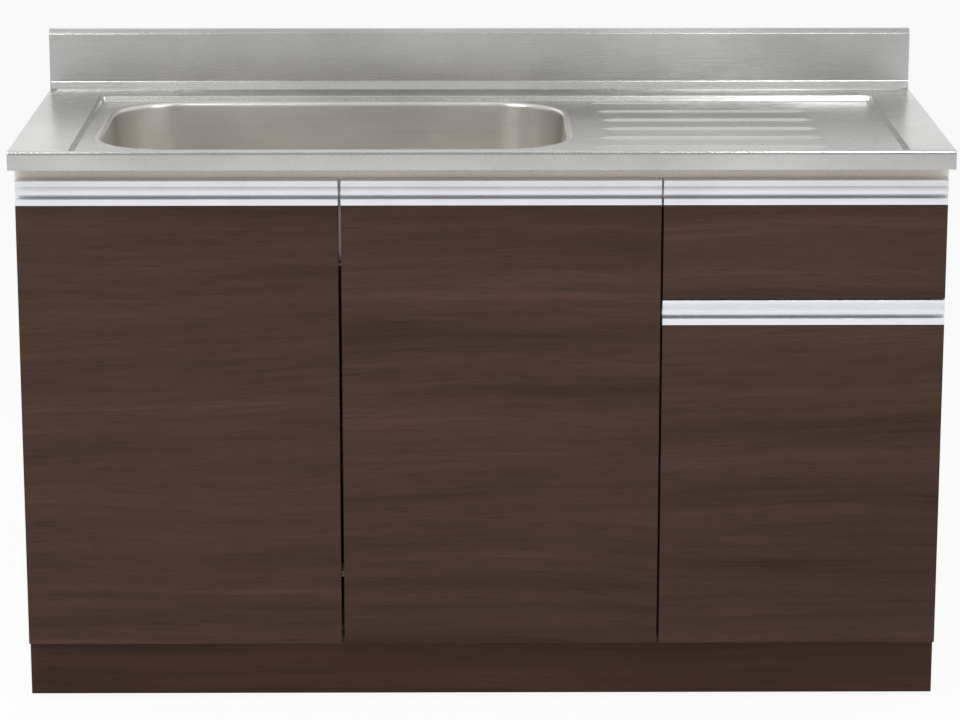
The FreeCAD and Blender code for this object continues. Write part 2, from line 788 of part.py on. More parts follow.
def makeDoors():
    for name, (leftEdge, rightEdge, top, hingeSide, levels) in doors.items():
        board, slot = slottedBoard(f"door_{name}", leftEdge, rightEdge, doorBottom, top)
        centre = f"{leftEdge} + {cupCentre}" if hingeSide == "left" else f"{rightEdge} - {cupCentre}"
        deepest = f"{frontBack} - cup_drop - screw_clearance"
        bores = [rod(f"cup_bore_{name}_{number}", "y", "cup_radius + screw_clearance",
                     "cup_drop + screw_clearance + 1", centre, deepest, level)
                 for number, level in enumerate(levels)]
        keep(f"door_panel_{name}", cut(f"door_{name}_cut", board, slot, *bores))
        makeHandle(f"door_handle_{name}", leftEdge, rightEdge, top)


# Hinge pieces in their own frame: x inward from the door's edge, y back from the carcass
# front, for a door hinged on its left. Doors hinged on the right use the mirror image.

armPivot = ("arm_pivot_inward", "arm_pivot_backward")
cupPivot = ("cup_pivot_inward", "(-cup_pivot_forward)")
linkBend = ("link_bend_inward", "(-link_bend_forward)")


def strip(name, start, end, thickness, width):
    # a flat bar between two points of the hinge frame, standing upright
    runX = f"({end[0]} - {start[0]})"
    runY = f"({end[1]} - {start[1]})"
    run = f"sqrt({runX} ^ 2 + {runY} ^ 2)"
    item = doc.addObject("Part::Box", name)
    bind(item, Length=run, Width=thickness, Height=width)
    bind(item, Placement__Rotation__Angle=f"atan2({runY}; {runX})")
    place(item, f"{start[0]} + {thickness} / 2 * {runY} / {run}",
          f"{start[1]} - {thickness} / 2 * {runX} / {run}", f"-{width} / 2")
    return item


def upright(name, radius, halfLength, x, y):
    return rod(name, "z", radius, f"2 * ({halfLength})", x, y, f"-({halfLength})")


def linkMaster():
    # the pin ends just inside the cup's round, so that it turns clear of the door board
    offset = f"({cupCentre} - cup_pivot_inward + hinge_pin_radius)"
    cupPinReach = f"sqrt(cup_radius ^ 2 - {offset} ^ 2) - screw_clearance"
    return fuse(
        "hinge_link",
        strip("link_front", cupPivot, linkBend, "link_thickness", "link_width"),
        strip("link_rear", linkBend, armPivot, "link_thickness", "link_width"),
        upright("link_bend", "link_thickness / 2", "link_width / 2", *linkBend),
        upright("link_cup_barrel", "barrel_radius", "link_width / 2", *cupPivot),
        upright("link_arm_barrel", "barrel_radius", "link_width / 2", *armPivot),
        upright("link_cup_pin", "hinge_pin_radius", cupPinReach, *cupPivot),
        upright("link_arm_pin", "hinge_pin_radius", cheekReach, *armPivot),
    )


def cupMaster():
    bottom = "(-front_air - cup_drop)"
    wall = rod("cup_wall_outer", "y", "cup_radius", "cup_drop", cupCentre, bottom, "0")
    ears = block("cup_ears", f"{cupCentre} + ear_offset", f"{cupCentre} + ear_offset + ear_width",
                 "-front_air", "-front_air + ear_thickness", "-ear_span / 2", "ear_span / 2")
    hollow = rod("cup_hollow", "y", "cup_radius - cup_wall", "cup_drop + ear_thickness", cupCentre,
                 f"{bottom} + cup_wall", "0")
    pinHole = upright("cup_pin_hole", "hinge_pin_radius + screw_clearance", "cup_radius", *cupPivot)
    return cut("hinge_cup", fuse("cup_solid", wall, ears), hollow, pinHole)


def armMaster():
    body = doc.addObject("PartDesign::Body", "arm_channel")
    back = "(plate_setback + plate_length)"
    side = [
        (armSeat, back),
        (armSeat, "arm_pivot_backward + 13"),
        ("arm_pivot_inward - 5", "arm_pivot_backward - 4.5"),
        ("arm_pivot_inward + 4", "arm_pivot_backward - 4.5"),
        ("arm_pivot_inward + 4", "arm_pivot_backward + 5"),
        (f"{armSeat} + 12", "arm_pivot_backward + 23"),
        (f"{armSeat} + 6", back),
    ]
    pad(body, "arm_block", outline(body, "arm_side", "XY_Plane", [side], f"-{cheekReach}"),
        f"2 * {cheekReach}")
    slot = rectangle(f"{armSeat} + arm_web", "2 * arm_pivot_inward", "-1", f"{back} + 1")
    reach = "(link_width / 2 + cheek_gap)"
    pocket(body, "arm_slot", outline(body, "arm_slot_outline", "XY_Plane", [slot], reach), f"2 * {reach}")
    pinHole = upright("arm_pin_hole", "hinge_pin_radius + screw_clearance", f"{cheekReach} + 1", *armPivot)
    return cut("hinge_arm", body, pinHole)


def plateMaster(name, seat):
    base = block(f"{name}_base", seat, armSeat, "plate_setback", "plate_setback + plate_length",
                 f"-{cheekReach}", cheekReach)
    wing = block(f"{name}_wing", seat, f"{seat} + plate_wing", "plate_screw_setback - 8",
                 "plate_screw_setback + 8", "-plate_span / 2", "plate_span / 2")
    holes = [rod(f"{name}_hole_{n}", "x", "screw_radius + screw_clearance", "plate_wing + 2",
                 f"{seat} - 1", "plate_screw_setback", f"{end} * plate_screw_spacing / 2")
             for n, end in enumerate((-1, 1))]
    return cut(name, fuse(f"{name}_solid", base, wing), *holes)


def screwMaster(name, seat):
    screws = []
    for n, end in enumerate((-1, 1)):
        level = f"{end} * plate_screw_spacing / 2"
        shank = rod(f"{name}_shank_{n}", "x", "screw_radius", "screw_length + plate_wing",
                    f"{seat} - screw_length", "plate_screw_setback", level)
        head = rod(f"{name}_head_{n}", "x", "screw_head_radius", "screw_head_height",
                   f"{seat} + plate_wing", "plate_screw_setback", level)
        screws.append(fuse(f"{name}_{n}", shank, head))
    return group(name, *screws)


def makeHinges():
    masters = {
        "link": linkMaster(),
        "cup": cupMaster(),
        "arm": armMaster(),
        "side_plate": plateMaster("hinge_plate_side", sideSeat),
        "partition_plate": plateMaster("hinge_plate_partition", partitionSeat),
        "side_screws": screwMaster("plate_screws_side", sideSeat),
        "partition_screws": screwMaster("plate_screws_partition", partitionSeat),
    }
    mirrors = {name: mirrored(f"{name}_mirrored", master) for name, master in masters.items()}
    fixed = {"arm": [], "plate": [], "screws": []}
    for door, (leftEdge, rightEdge, top, hingeSide, levels) in doors.items():
        family = masters if hingeSide == "left" else mirrors
        edge = leftEdge if hingeSide == "left" else rightEdge
        board = "partition" if door == "centre" else "side"

        def placed(kind, piece):
            return [copy(f"{kind}_{door}_{n}", family[piece], edge, carcassFront, level)
                    for n, level in enumerate(levels)]

        keep(f"hinge_links_{door}", group(f"links_{door}", *placed("link", "link")))
        keep(f"hinge_cups_{door}", group(f"cups_{door}", *placed("cup", "cup")))
        fixed["arm"] += placed("arm", "arm")
        fixed["plate"] += placed("plate", f"{board}_plate")
        fixed["screws"] += placed("screws", f"{board}_screws")
    keep("hinge_arms", group("arm_group", *fixed["arm"]))
    keep("hinge_plates", group("plate_group", *fixed["plate"]))
    keep("hinge_screws", group("screw_group", *fixed["screws"]))


def makeBumpers():
    # soft pads on the carcass front, where the fronts come to rest
    low = "(plinth_height + board_thickness / 2)"
    high = f"({handleTop} - bumper_inset)"
    middle = f"({dividerTop} - board_thickness / 2)"
    places = [
        (f"{leftDoorRight} - bumper_inset", low),
        (f"{leftDoorRight} - bumper_inset", high),
        (f"{centreDoorLeft} + bumper_inset", low),
        (f"{centreDoorLeft} + bumper_inset", high),
        (f"{rightDoorLeft} + bumper_inset", low),
        (f"{rightDoorLeft} + bumper_inset", middle),
        (f"{rightDoorLeft} + 2 * bumper_inset", high),
        (f"{rightDoorRight} - 2 * bumper_inset", high),
    ]
    pads = [rod(f"bumper_{n}", "y", "bumper_radius", "front_air - bumper_clearance", x,
                f"{frontBack} + bumper_clearance", z) for n, (x, z) in enumerate(places)]
    keep("front_bumpers", group("bumper_group", *pads))


def makeDrawer():
    board, slot = slottedBoard("drawer", rightDoorLeft, rightDoorRight, drawerBottom, panelTop)
    keep("drawer_front", cut("drawer_front_cut", board, slot))
    makeHandle("drawer_handle", rightDoorLeft, rightDoorRight, panelTop)
    innerFaceLeft = f"({drawerLeft} + drawer_side_thickness)"
    innerFaceRight = f"({drawerRight} - drawer_side_thickness)"
    inlet = "(groove_inlet - groove_clearance)"
    floorUpper = f"({drawerFloor} + drawer_bottom_thickness)"
    groove = block("drawer_floor_groove", f"{innerFaceLeft} - groove_inlet",
                   f"{innerFaceRight} + groove_inlet", f"{frontBack} - 1", f"{drawerBoxBack} + 1",
                   f"{drawerFloor} - groove_clearance", f"{floorUpper} + groove_clearance")
    walls = {"left": (drawerLeft, innerFaceLeft), "right": (innerFaceRight, drawerRight)}
    for side, (near, far) in walls.items():
        wall = block(f"drawer_{side}_board", near, far, frontBack, drawerBoxBack, drawerBoxBottom,
                     drawerBoxTop)
        keep(f"drawer_side_{side}", cut(f"drawer_{side}_cut", wall, groove))
    keep("drawer_bottom", block("drawer_bottom_board", f"{innerFaceLeft} - {inlet}",
                                f"{innerFaceRight} + {inlet}", frontBack, drawerBoxBack, drawerFloor,
                                floorUpper))
    keep("drawer_back", block("drawer_back_board", innerFaceLeft, innerFaceRight,
                              f"{drawerBoxBack} - drawer_side_thickness", drawerBoxBack, floorUpper,
                              f"{drawerBoxTop} - drawer_back_drop"))


def makeRunners():
    # the pair on the partition side; the pair on the right is its mirror image
    face = partitionRight
    gauge = "runner_gauge"
    track = "(roller_radius + roller_play)"
    start = f"({carcassFront} + runner_front_gap)"
    back = f"({start} + runner_length)"
    flangeTip = f"{face} + runner_flange"
    railBottom = f"({rollerLevel} - {track} - {gauge})"
    railTop = f"({rollerLevel} + {track} + {gauge})"
    railParts = [
        block("rail_web", face, f"{face} + {gauge}", start, back, railBottom, railTop),
        block("rail_track", face, flangeTip, start, back, railBottom, f"{rollerLevel} - {track}"),
        block("rail_cap", face, flangeTip, start, back, f"{rollerLevel} + {track}", railTop),
        block("rail_nose", face, f"{face} + {gauge}", f"{carcassFront} + 1", f"{start} + 1",
              f"{rollerLevel} - roller_radius", railTop),
        rod("rail_pin", "x", "roller_pin_radius", "roller_offset + roller_width + roller_play", face,
            frontRollerY, f"{rollerLevel} + front_roller_rise"),
    ]
    rail = fuse("cabinet_rail", *railParts)
    web = f"({drawerLeft} - {gauge})"
    ledge = f"({rollerLevel} + front_roller_rise + {track})"
    ledgeTop = f"({ledge} + {gauge})"
    pinStart = f"({face} + roller_offset - roller_play)"
    slideParts = [
        block("slide_web", web, drawerLeft, frontBack, drawerBoxBack, ledge, f"{ledge} + slide_web_height"),
        block("slide_ledge", f"{face} + slide_ledge_gap", drawerLeft, frontBack, drawerBoxBack, ledge,
              ledgeTop),
        block("slide_bracket", web, drawerLeft, f"{rearRollerY} - bracket_reach", drawerBoxBack,
              f"{rollerLevel} - bracket_drop", ledgeTop),
        rod("slide_pin", "x", "roller_pin_radius", f"{drawerLeft} - {pinStart}", pinStart, rearRollerY,
            rollerLevel),
    ]
    slide = fuse("drawer_slide", *slideParts)

    def roller(name, y, z):
        wheel = rod(f"{name}_wheel", "x", "roller_radius", "roller_width", f"{face} + roller_offset", y, z)
        bore = rod(f"{name}_bore", "x", "roller_pin_radius + roller_bore_clearance", "roller_width + 2",
                   f"{face} + roller_offset - 1", y, z)
        return cut(f"{name}_left", wheel, bore)

    middle = f"(({partitionRight} + {innerRight}) / 2)"
    keep("cabinet_rails", group("rail_pair", rail, mirrored("cabinet_rail_right", rail, middle)))
    keep("drawer_slides", group("slide_pair", slide, mirrored("drawer_slide_right", slide, middle)))
    frontRoller = roller("front_roller", frontRollerY, f"{rollerLevel} + front_roller_rise")
    rearRoller = roller("rear_roller", rearRollerY, rollerLevel)
    keep("roller_front_right", mirrored("front_roller_right", frontRoller, middle))
    keep("roller_rear_right", mirrored("rear_roller_right", rearRoller, middle))
    keep("roller_front_left", frontRoller)
    keep("roller_rear_left", rearRoller)


def ring(name, height, cornerRadius, boreRadius, bottom, corners=8):
    nut = prism(f"{name}_outer", corners, cornerRadius, height, wasteX, wasteY, bottom)
    bore = rod(f"{name}_bore", "z", boreRadius, f"{height} + 2", wasteX, wasteY, f"{bottom} - 1")
    return cut(f"{name}_ring", nut, bore)


def makeWaste():
    neckInner = "(neck_radius - neck_wall)"
    neckTop = f"({bowlFloor} - neck_clearance)"
    shoulder = f"({bowlFloor} - neck_drop)"
    bucketBottom = f"({bowlFloor} - bucket_drop)"
    bucketFloor = f"({bucketBottom} + neck_wall)"
    bucketInner = "(bucket_radius - neck_wall)"
    spigotEnd = f"({bucketBottom} - spigot_length)"
    tailTop = f"({spigotEnd} + hose_tail_length)"
    pipeTop = f"({bucketFloor} + standpipe_rise)"
    keep("trap_body", revolve("trap", [
        ("neck_radius", neckTop),
        (neckInner, neckTop),
        (neckInner, f"{shoulder} + neck_wall"),
        (bucketInner, f"{shoulder} + neck_wall"),
        (bucketInner, bucketFloor),
        ("standpipe_radius", bucketFloor),
        ("standpipe_radius", pipeTop),
        ("pipe_bore_radius", pipeTop),
        ("pipe_bore_radius", spigotEnd),
        ("hose_tail_radius", spigotEnd),
        ("hose_tail_radius", tailTop),
        ("spigot_radius", tailTop),
        ("spigot_radius", bucketBottom),
        ("bucket_radius", bucketBottom),
        ("bucket_radius", shoulder),
        ("neck_radius", shoulder),
    ], wasteX, wasteY))

    # the flange screws into the neck and carries the basket on its inner lip
    skirtOuter = f"({neckInner} - thread_clearance)"
    skirtInner = f"({skirtOuter} - flange_gauge)"
    skirtBottom = f"({bowlFloor} - flange_skirt)"
    seatTop = f"({skirtBottom} + flange_gauge)"
    seatRadius = f"({skirtInner} - flange_seat)"
    keep("drain_flange", revolve("flange_ring", [
        ("flange_radius", bowlFloor),
        ("flange_radius", f"{bowlFloor} + flange_thickness"),
        (skirtInner, f"{bowlFloor} + flange_thickness"),
        (skirtInner, seatTop),
        (seatRadius, seatTop),
        (seatRadius, skirtBottom),
        (skirtOuter, skirtBottom),
        (skirtOuter, bowlFloor),
    ], wasteX, wasteY))

    gasketBottom = f"({bowlUnderside} - gasket_thickness)"
    gasket = rod("gasket_outer", "z", "gasket_radius", "gasket_thickness", wasteX, wasteY, gasketBottom)
    gasketBore = rod("gasket_bore", "z", "neck_radius + thread_clearance", "gasket_thickness + 2",
                     wasteX, wasteY, f"{gasketBottom} - 1")
    keep("drain_gasket", cut("gasket_cut", gasket, gasketBore))
    keep("drain_lock_nut", ring("lock_nut", "nut_height", "nut_corner_radius",
                                "neck_radius + thread_clearance", f"{gasketBottom} - nut_height"))
    keep("outlet_nut", ring("outlet_nut", "outlet_nut_height", "outlet_nut_corner_radius",
                            "spigot_radius + thread_clearance", f"{spigotEnd} + outlet_nut_lift"))

    # the bell cup stands over the standpipe on three feet
    bellBottom = f"({bucketFloor} + bell_rise)"
    bellTop = f"({bellBottom} + bell_height)"
    bell = revolve("bell", [
        ("bell_radius", bellBottom),
        ("bell_radius", bellTop),
        ("0", bellTop),
        ("0", f"{bellTop} - bell_wall"),
        ("bell_radius - bell_wall", f"{bellTop} - bell_wall"),
        ("bell_radius - bell_wall", bellBottom),
    ], wasteX, wasteY)
    feet = []
    for number in range(3):
        angle = number * 120
        middleRadius = "(bell_radius - bell_wall / 2)"
        x = f"({wasteX} + {middleRadius} * cos({angle} deg))"
        y = f"({wasteY} + {middleRadius} * sin({angle} deg))"
        feet.append(rod(f"bell_foot_{number}", "z", "bell_wall / 2", "bell_rise + bell_foot", x, y,
                        bucketFloor))
    keep("bell_cup", fuse("bell_on_feet", bell, *feet))

    # the basket hangs by its rim on the lip, the soft cover lies on the basket's rim
    rimBottom = f"({seatTop} + lift_clearance)"
    rimTop = f"({rimBottom} + basket_rim)"
    basketBottom = f"({rimBottom} - basket_drop)"
    basketInner = "(basket_radius - basket_wall)"
    basketFloor = f"({basketBottom} + basket_wall)"
    keep("strainer_basket", revolve("basket", [
        ("basket_rim_radius", rimBottom),
        ("basket_rim_radius", rimTop),
        (basketInner, rimTop),
        (basketInner, basketFloor),
        ("basket_knob_radius", basketFloor),
        ("basket_knob_radius", f"{basketFloor} + basket_knob_height"),
        ("0", f"{basketFloor} + basket_knob_height"),
        ("0", basketBottom),
        ("basket_radius", basketBottom),
        ("basket_radius", rimBottom),
    ], wasteX, wasteY))
    coverBottom = f"({rimTop} + lift_clearance)"
    coverTop = f"({coverBottom} + cover_height)"
    keep("drain_cover", revolve("cover", [
        ("cover_radius", coverBottom),
        ("cover_radius", coverTop),
        ("cover_hole_radius", coverTop),
        ("cover_hole_radius", f"{coverTop} - cover_thickness"),
        ("cover_radius - cover_skirt", f"{coverTop} - cover_thickness"),
        ("cover_radius - cover_skirt", coverBottom),
    ], wasteX, wasteY))


makeWorktop()
makeBowl()
makeCores()
makeCarcass()
makeShelf()
makeDoors()
makeHinges()
makeBumpers()
makeDrawer()
makeRunners()
makeWaste()
doc.recompute()

for item in doc.Objects:
    if "Invalid" in item.State or "Error" in item.State:
        raise ValueError(f"{item.Name} is {item.State}")
for item in nodes:
    if item.Shape.isNull() or not item.Shape.isValid():
        raise ValueError(f"{item.Label} has no valid shape")

os.makedirs("parts", exist_ok=True)
for item in nodes:
    item.Shape.exportStep(f"parts/{item.Label}.step")
print(len(nodes), "sub-parts written")
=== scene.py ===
import json
import math

import bmesh
import bpy
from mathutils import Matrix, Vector, geometry


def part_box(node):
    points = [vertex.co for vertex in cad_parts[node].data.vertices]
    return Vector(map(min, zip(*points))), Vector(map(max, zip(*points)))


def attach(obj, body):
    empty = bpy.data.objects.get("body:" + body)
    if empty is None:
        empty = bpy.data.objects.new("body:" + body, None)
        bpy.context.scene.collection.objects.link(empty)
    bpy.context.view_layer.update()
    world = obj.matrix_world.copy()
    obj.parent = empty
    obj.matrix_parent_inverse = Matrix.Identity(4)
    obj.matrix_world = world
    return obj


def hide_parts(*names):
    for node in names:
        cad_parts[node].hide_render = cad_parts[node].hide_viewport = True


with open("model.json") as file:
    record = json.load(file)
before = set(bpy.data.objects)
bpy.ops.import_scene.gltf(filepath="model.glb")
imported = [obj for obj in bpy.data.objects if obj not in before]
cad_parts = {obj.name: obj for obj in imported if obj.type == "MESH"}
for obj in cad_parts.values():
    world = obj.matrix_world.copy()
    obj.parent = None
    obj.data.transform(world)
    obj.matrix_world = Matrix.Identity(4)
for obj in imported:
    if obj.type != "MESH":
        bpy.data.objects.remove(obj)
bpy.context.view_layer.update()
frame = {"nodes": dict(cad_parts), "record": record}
scene = bpy.context.scene
cadNodes = frame["nodes"]
print("frame loaded,", len(cadNodes), "nodes")

# Sizes below are millimetres unless a note says otherwise; meshes are turned into metres when
# a piece is made. X runs to the right, Y to the back, Z up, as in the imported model.


# Mesh helpers

def newShell():
    return {"points": [], "faces": [], "finishes": []}


def addFace(shell, points, finish=0):
    start = len(shell["points"])
    shell["points"].extend(points)
    shell["faces"].append(tuple(range(start, start + len(points))))
    shell["finishes"].append(finish)


def addRows(shell, rows, finish=0, closed=False, looped=False, capped=False):
    # rows of points joined by quads: closed joins each row's ends, looped the last row to the first
    start = len(shell["points"])
    width = len(rows[0])
    for row in rows:
        shell["points"].extend(row)
    for r in range(len(rows) if looped else len(rows) - 1):
        for c in range(width if closed else width - 1):
            near = start + r * width
            far = start + (r + 1) % len(rows) * width
            after = (c + 1) % width
            shell["faces"].append((near + c, near + after, far + after, far + c))
            shell["finishes"].append(finish)
    if capped:
        shell["faces"].append(tuple(range(start + width - 1, start - 1, -1)))
        shell["faces"].append(tuple(range(start + (len(rows) - 1) * width, start + len(rows) * width)))
        shell["finishes"] += [finish, finish]


def inside(point, loop):
    found = False
    for (x1, y1), (x2, y2) in zip(loop, loop[1:] + loop[:1]):
        if (y1 > point[1]) != (y2 > point[1]) and point[0] < (x2 - x1) * (point[1] - y1) / (y2 - y1) + x1:
            found = not found
    return found


def addFlat(shell, outer, holes, place, finish=0):
    # fills a flat outline with holes; place turns a point of the flat into one in space
    corners, edges = [], []
    for loop in [outer] + holes:
        first = len(corners)
        corners += [Vector(point[:2]) for point in loop]
        edges += [(first + n, first + (n + 1) % len(loop)) for n in range(len(loop))]
    points, _, faces, *_ = geometry.delaunay_2d_cdt(corners, edges, [], 0, 1e-6)
    outline = [tuple(point[:2]) for point in outer]
    gaps = [[tuple(point[:2]) for point in hole] for hole in holes]
    start = len(shell["points"])
    shell["points"].extend(place(p.x, p.y) for p in points)
    for face in faces:
        middle = sum((points[n] for n in face), Vector((0, 0))) / len(face)
        if inside(middle, outline) and not any(inside(middle, gap) for gap in gaps):
            shell["faces"].append(tuple(start + n for n in face))
            shell["finishes"].append(finish)


def rounded(corners, closed=True, step=12):
    # corners are (u, v) or (u, v, radius); gives the path with its corners rounded off
    path = []
    count = len(corners)
    for n, corner in enumerate(corners):
        point = Vector(corner[:2])
        radius = corner[2] if len(corner) > 2 else 0
        if not radius or (not closed and n in (0, count - 1)):
            path.append(tuple(point))
            continue
        before = (Vector(corners[n - 1][:2]) - point).normalized()
        after = (Vector(corners[(n + 1) % count][:2]) - point).normalized()
        half = before.angle(after) / 2
        turn = math.pi - 2 * half
        centre = point + (before + after).normalized() * radius / math.sin(half)
        start = point + before * radius / math.tan(half) - centre
        end = point + after * radius / math.tan(half) - centre
        pieces = max(2, math.ceil(math.degrees(turn) / step))
        for k in range(pieces + 1):
            share = k / pieces * turn
            spoke = (math.sin(turn - share) * start + math.sin(share) * end) / math.sin(turn)
            path.append(tuple(centre + spoke))
    return path


def roundedLoop(box, inset, radius, z, steps=16):
    # a rectangle with round corners, drawn in by inset; every inset has as many points
    left, right, front, rear = box[0] + inset, box[1] - inset, box[2] + inset, box[3] - inset
    reach = max(radius - inset, 0.05)
    centres = [(right - reach, rear - reach, 0), (left + reach, rear - reach, 90),
               (left + reach, front + reach, 180), (right - reach, front + reach, 270)]
    loop = []
    for x, y, start in centres:
        for k in range(steps + 1):
            angle = math.radians(start + 90 * k / steps)
            loop.append((x + reach * math.cos(angle), y + reach * math.sin(angle), z))
    return loop


def circle(x, y, radius, z, steps=64):
    turns = [2 * math.pi * k / steps for k in range(steps)]
    return [(x + radius * math.cos(turn), y + radius * math.sin(turn), z) for turn in turns]


def addTurned(shell, profile, place=lambda x, y, z: (x, y, z), steps=64, closed=True):
    # profile is radius and height; place puts a point of the turned form where it belongs
    rows = [[place(*point) for point in circle(0, 0, radius, height, steps)] for radius, height in profile]
    addRows(shell, rows, closed=True, looped=closed)


def addObject(name, content):
    item = bpy.data.objects.new(name, content)
    scene.collection.objects.link(item)
    return item


def newMesh(name, points, faces=()):
    mesh = bpy.data.meshes.new(name)
    mesh.from_pydata([(x / 1000, y / 1000, z / 1000) for x, y, z in points], [], faces)
    return mesh


def openForm(mesh, near=2e-6):
    form = bmesh.new()
    form.from_mesh(mesh)
    bmesh.ops.remove_doubles(form, verts=form.verts, dist=near)
    return form


def closeForm(form, mesh):
    form.to_mesh(mesh)
    form.free()


def solidMesh(carrier):
    # what the modifiers give, as a plain mesh
    bpy.context.view_layer.update()
    seen = carrier.evaluated_get(bpy.context.evaluated_depsgraph_get())
    mesh = bpy.data.meshes.new_from_object(seen)
    carrier.modifiers.clear()
    return mesh


def joinPiece(piece, body, replaced, angle):
    # faces that meet at less than the angle are shaded as one
    piece.data.shade_smooth()
    piece.data.set_sharp_from_angle(angle=math.radians(angle))
    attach(piece, body)
    if replaced:
        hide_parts(*replaced)


def faceOutwards(form):
    # every closed part of the mesh gets its outer side outside
    bmesh.ops.recalc_face_normals(form, faces=form.faces)
    waiting = set(form.faces)
    while waiting:
        patch = [waiting.pop()]
        for face in patch:
            for other in {other for edge in face.edges for other in edge.link_faces} & waiting:
                waiting.discard(other)
                patch.append(other)
        origin = patch[0].verts[0].co.copy()
        volume = 0
        for face in patch:
            corners = [point.co - origin for point in face.verts]
            volume += sum(corners[0].dot(a.cross(b)) for a, b in zip(corners[1:-1], corners[2:]))
        if volume < 0:
            bmesh.ops.reverse_faces(form, faces=patch)


def makeForm(name, shell, finishes, facing=None, gauge=0):
    mesh = newMesh(name, shell["points"], shell["faces"])
    mesh.polygons.foreach_set("material_index", shell["finishes"])
    form = openForm(mesh)
    bmesh.ops.dissolve_degenerate(form, edges=form.edges, dist=1e-7)
    bmesh.ops.delete(form, geom=[edge for edge in form.edges if not edge.link_faces], context="EDGES")
    if not facing:
        faceOutwards(form)
    else:
        # an open sheet: its largest face tells which side is the outer one
        bmesh.ops.recalc_face_normals(form, faces=form.faces)
        outer = Vector(facing)
        largest = max(form.faces, key=lambda face: face.calc_area() * abs(face.normal.dot(outer)))
        if largest.normal.dot(outer) < 0:
            bmesh.ops.reverse_faces(form, faces=form.faces)
    closeForm(form, mesh)
    for finish in finishes:
        mesh.materials.append(finish)
    piece = addObject(name, mesh)
    if gauge:
        wall = piece.modifiers.new("gauge", "SOLIDIFY")
        wall.thickness = gauge / 1000
        wall.offset = -1
        wall.use_even_offset = True
        piece.data = solidMesh(piece)
    return piece


def makePiece(name, shell, body, finishes, replaced=(), angle=38, facing=None, gauge=0):
    piece = makeForm(name, shell, finishes, facing, gauge)
    joinPiece(piece, body, replaced, angle)
    return piece


# Material helpers

def linear(red, green, blue):
    # an sRGB colour of 0 to 255 as the shader wants it
    def straight(level):
        level /= 255
        return level / 12.92 if level <= 0.04045 else ((level + 0.055) / 1.055) ** 2.4
    return (straight(red), straight(green), straight(blue), 1)


def addNode(tree, kind, inputs=None, **settings):
    item = tree.nodes.new(kind)
    for key, setting in settings.items():
        setattr(item, key, setting)
    for key, source in (inputs or {}).items():
        if isinstance(source, bpy.types.NodeSocket):
            tree.links.new(source, item.inputs[key])
        else:
            item.inputs[key].default_value = source
    return item


def calc(tree, operation, first, second=0.0, third=0.0):
    return addNode(tree, "ShaderNodeMath", {0: first, 1: second, 2: third}, operation=operation).outputs[0]


def product(tree, first, *others):
    for other in others:
        first = calc(tree, "MULTIPLY", first, other)
    return first


def weigh(tree, first, share, second, rest):
    return calc(tree, "MULTIPLY_ADD", first, share, product(tree, second, rest))


def spread(tree, value, low, high, toLow, toHigh, kind="LINEAR"):
    return addNode(tree, "ShaderNodeMapRange", {0: value, 1: low, 2: high, 3: toLow, 4: toHigh},
                   interpolation_type=kind).outputs[0]


def combine(tree, x, y, z):
    return addNode(tree, "ShaderNodeCombineXYZ", {0: x, 1: y, 2: z}).outputs[0]


def split(tree, vector):
    return addNode(tree, "ShaderNodeSeparateXYZ", {0: vector}).outputs


def placeOn(tree, scale=(1, 1, 1), shift=(0, 0, 0)):
    place = addNode(tree, "ShaderNodeTexCoord").outputs["Object"]
    return addNode(tree, "ShaderNodeMapping", {"Vector": place, "Location": shift, "Scale": scale}).outputs[0]


def noise(tree, vector, scale, detail=3.0, rough=0.55):
    return addNode(tree, "ShaderNodeTexNoise", {"Vector": vector, "Scale": scale, "Detail": detail,
                                                "Roughness": rough}).outputs[0]


def ramp(tree, factor, stops):
    item = addNode(tree, "ShaderNodeValToRGB", {0: factor})
    band = item.color_ramp
    while len(band.elements) < len(stops):
        band.elements.new(0.5)
    for element, (place, colour) in zip(band.elements, stops):
        element.position = place
        element.color = colour
    return item.outputs[0]


def toneRamp(tree, factor, places, tones):
    return ramp(tree, factor, [(place, linear(*tone)) for place, tone in zip(places, tones)])


def blend(tree, factor, first, second, kind="MIX"):
    colours = {0: factor, 6: first, 7: second}
    return addNode(tree, "ShaderNodeMix", colours, data_type="RGBA", blend_type=kind).outputs[2]


def startFinish(name, **uniform):
    material = bpy.data.materials.new(name)
    material.use_nodes = True
    tree = material.node_tree
    shader = tree.nodes["Principled BSDF"]
    for socket, setting in uniform.items():
        shader.inputs[socket.replace("_", " ")].default_value = setting
    return material, tree, shader


def feed(shader, **sources):
    for socket, source in sources.items():
        shader.id_data.links.new(source, shader.inputs[socket.replace("_", " ")])


def relief(tree, shader, height, strength, distance):
    bump = addNode(tree, "ShaderNodeBump", {"Height": height, "Strength": strength, "Distance": distance})
    feed(shader, Normal=bump.outputs[0])


def shade(tone, level):
    return tuple(min(part * level, 1) for part in tone[:3]) + (1,)


# Finishes

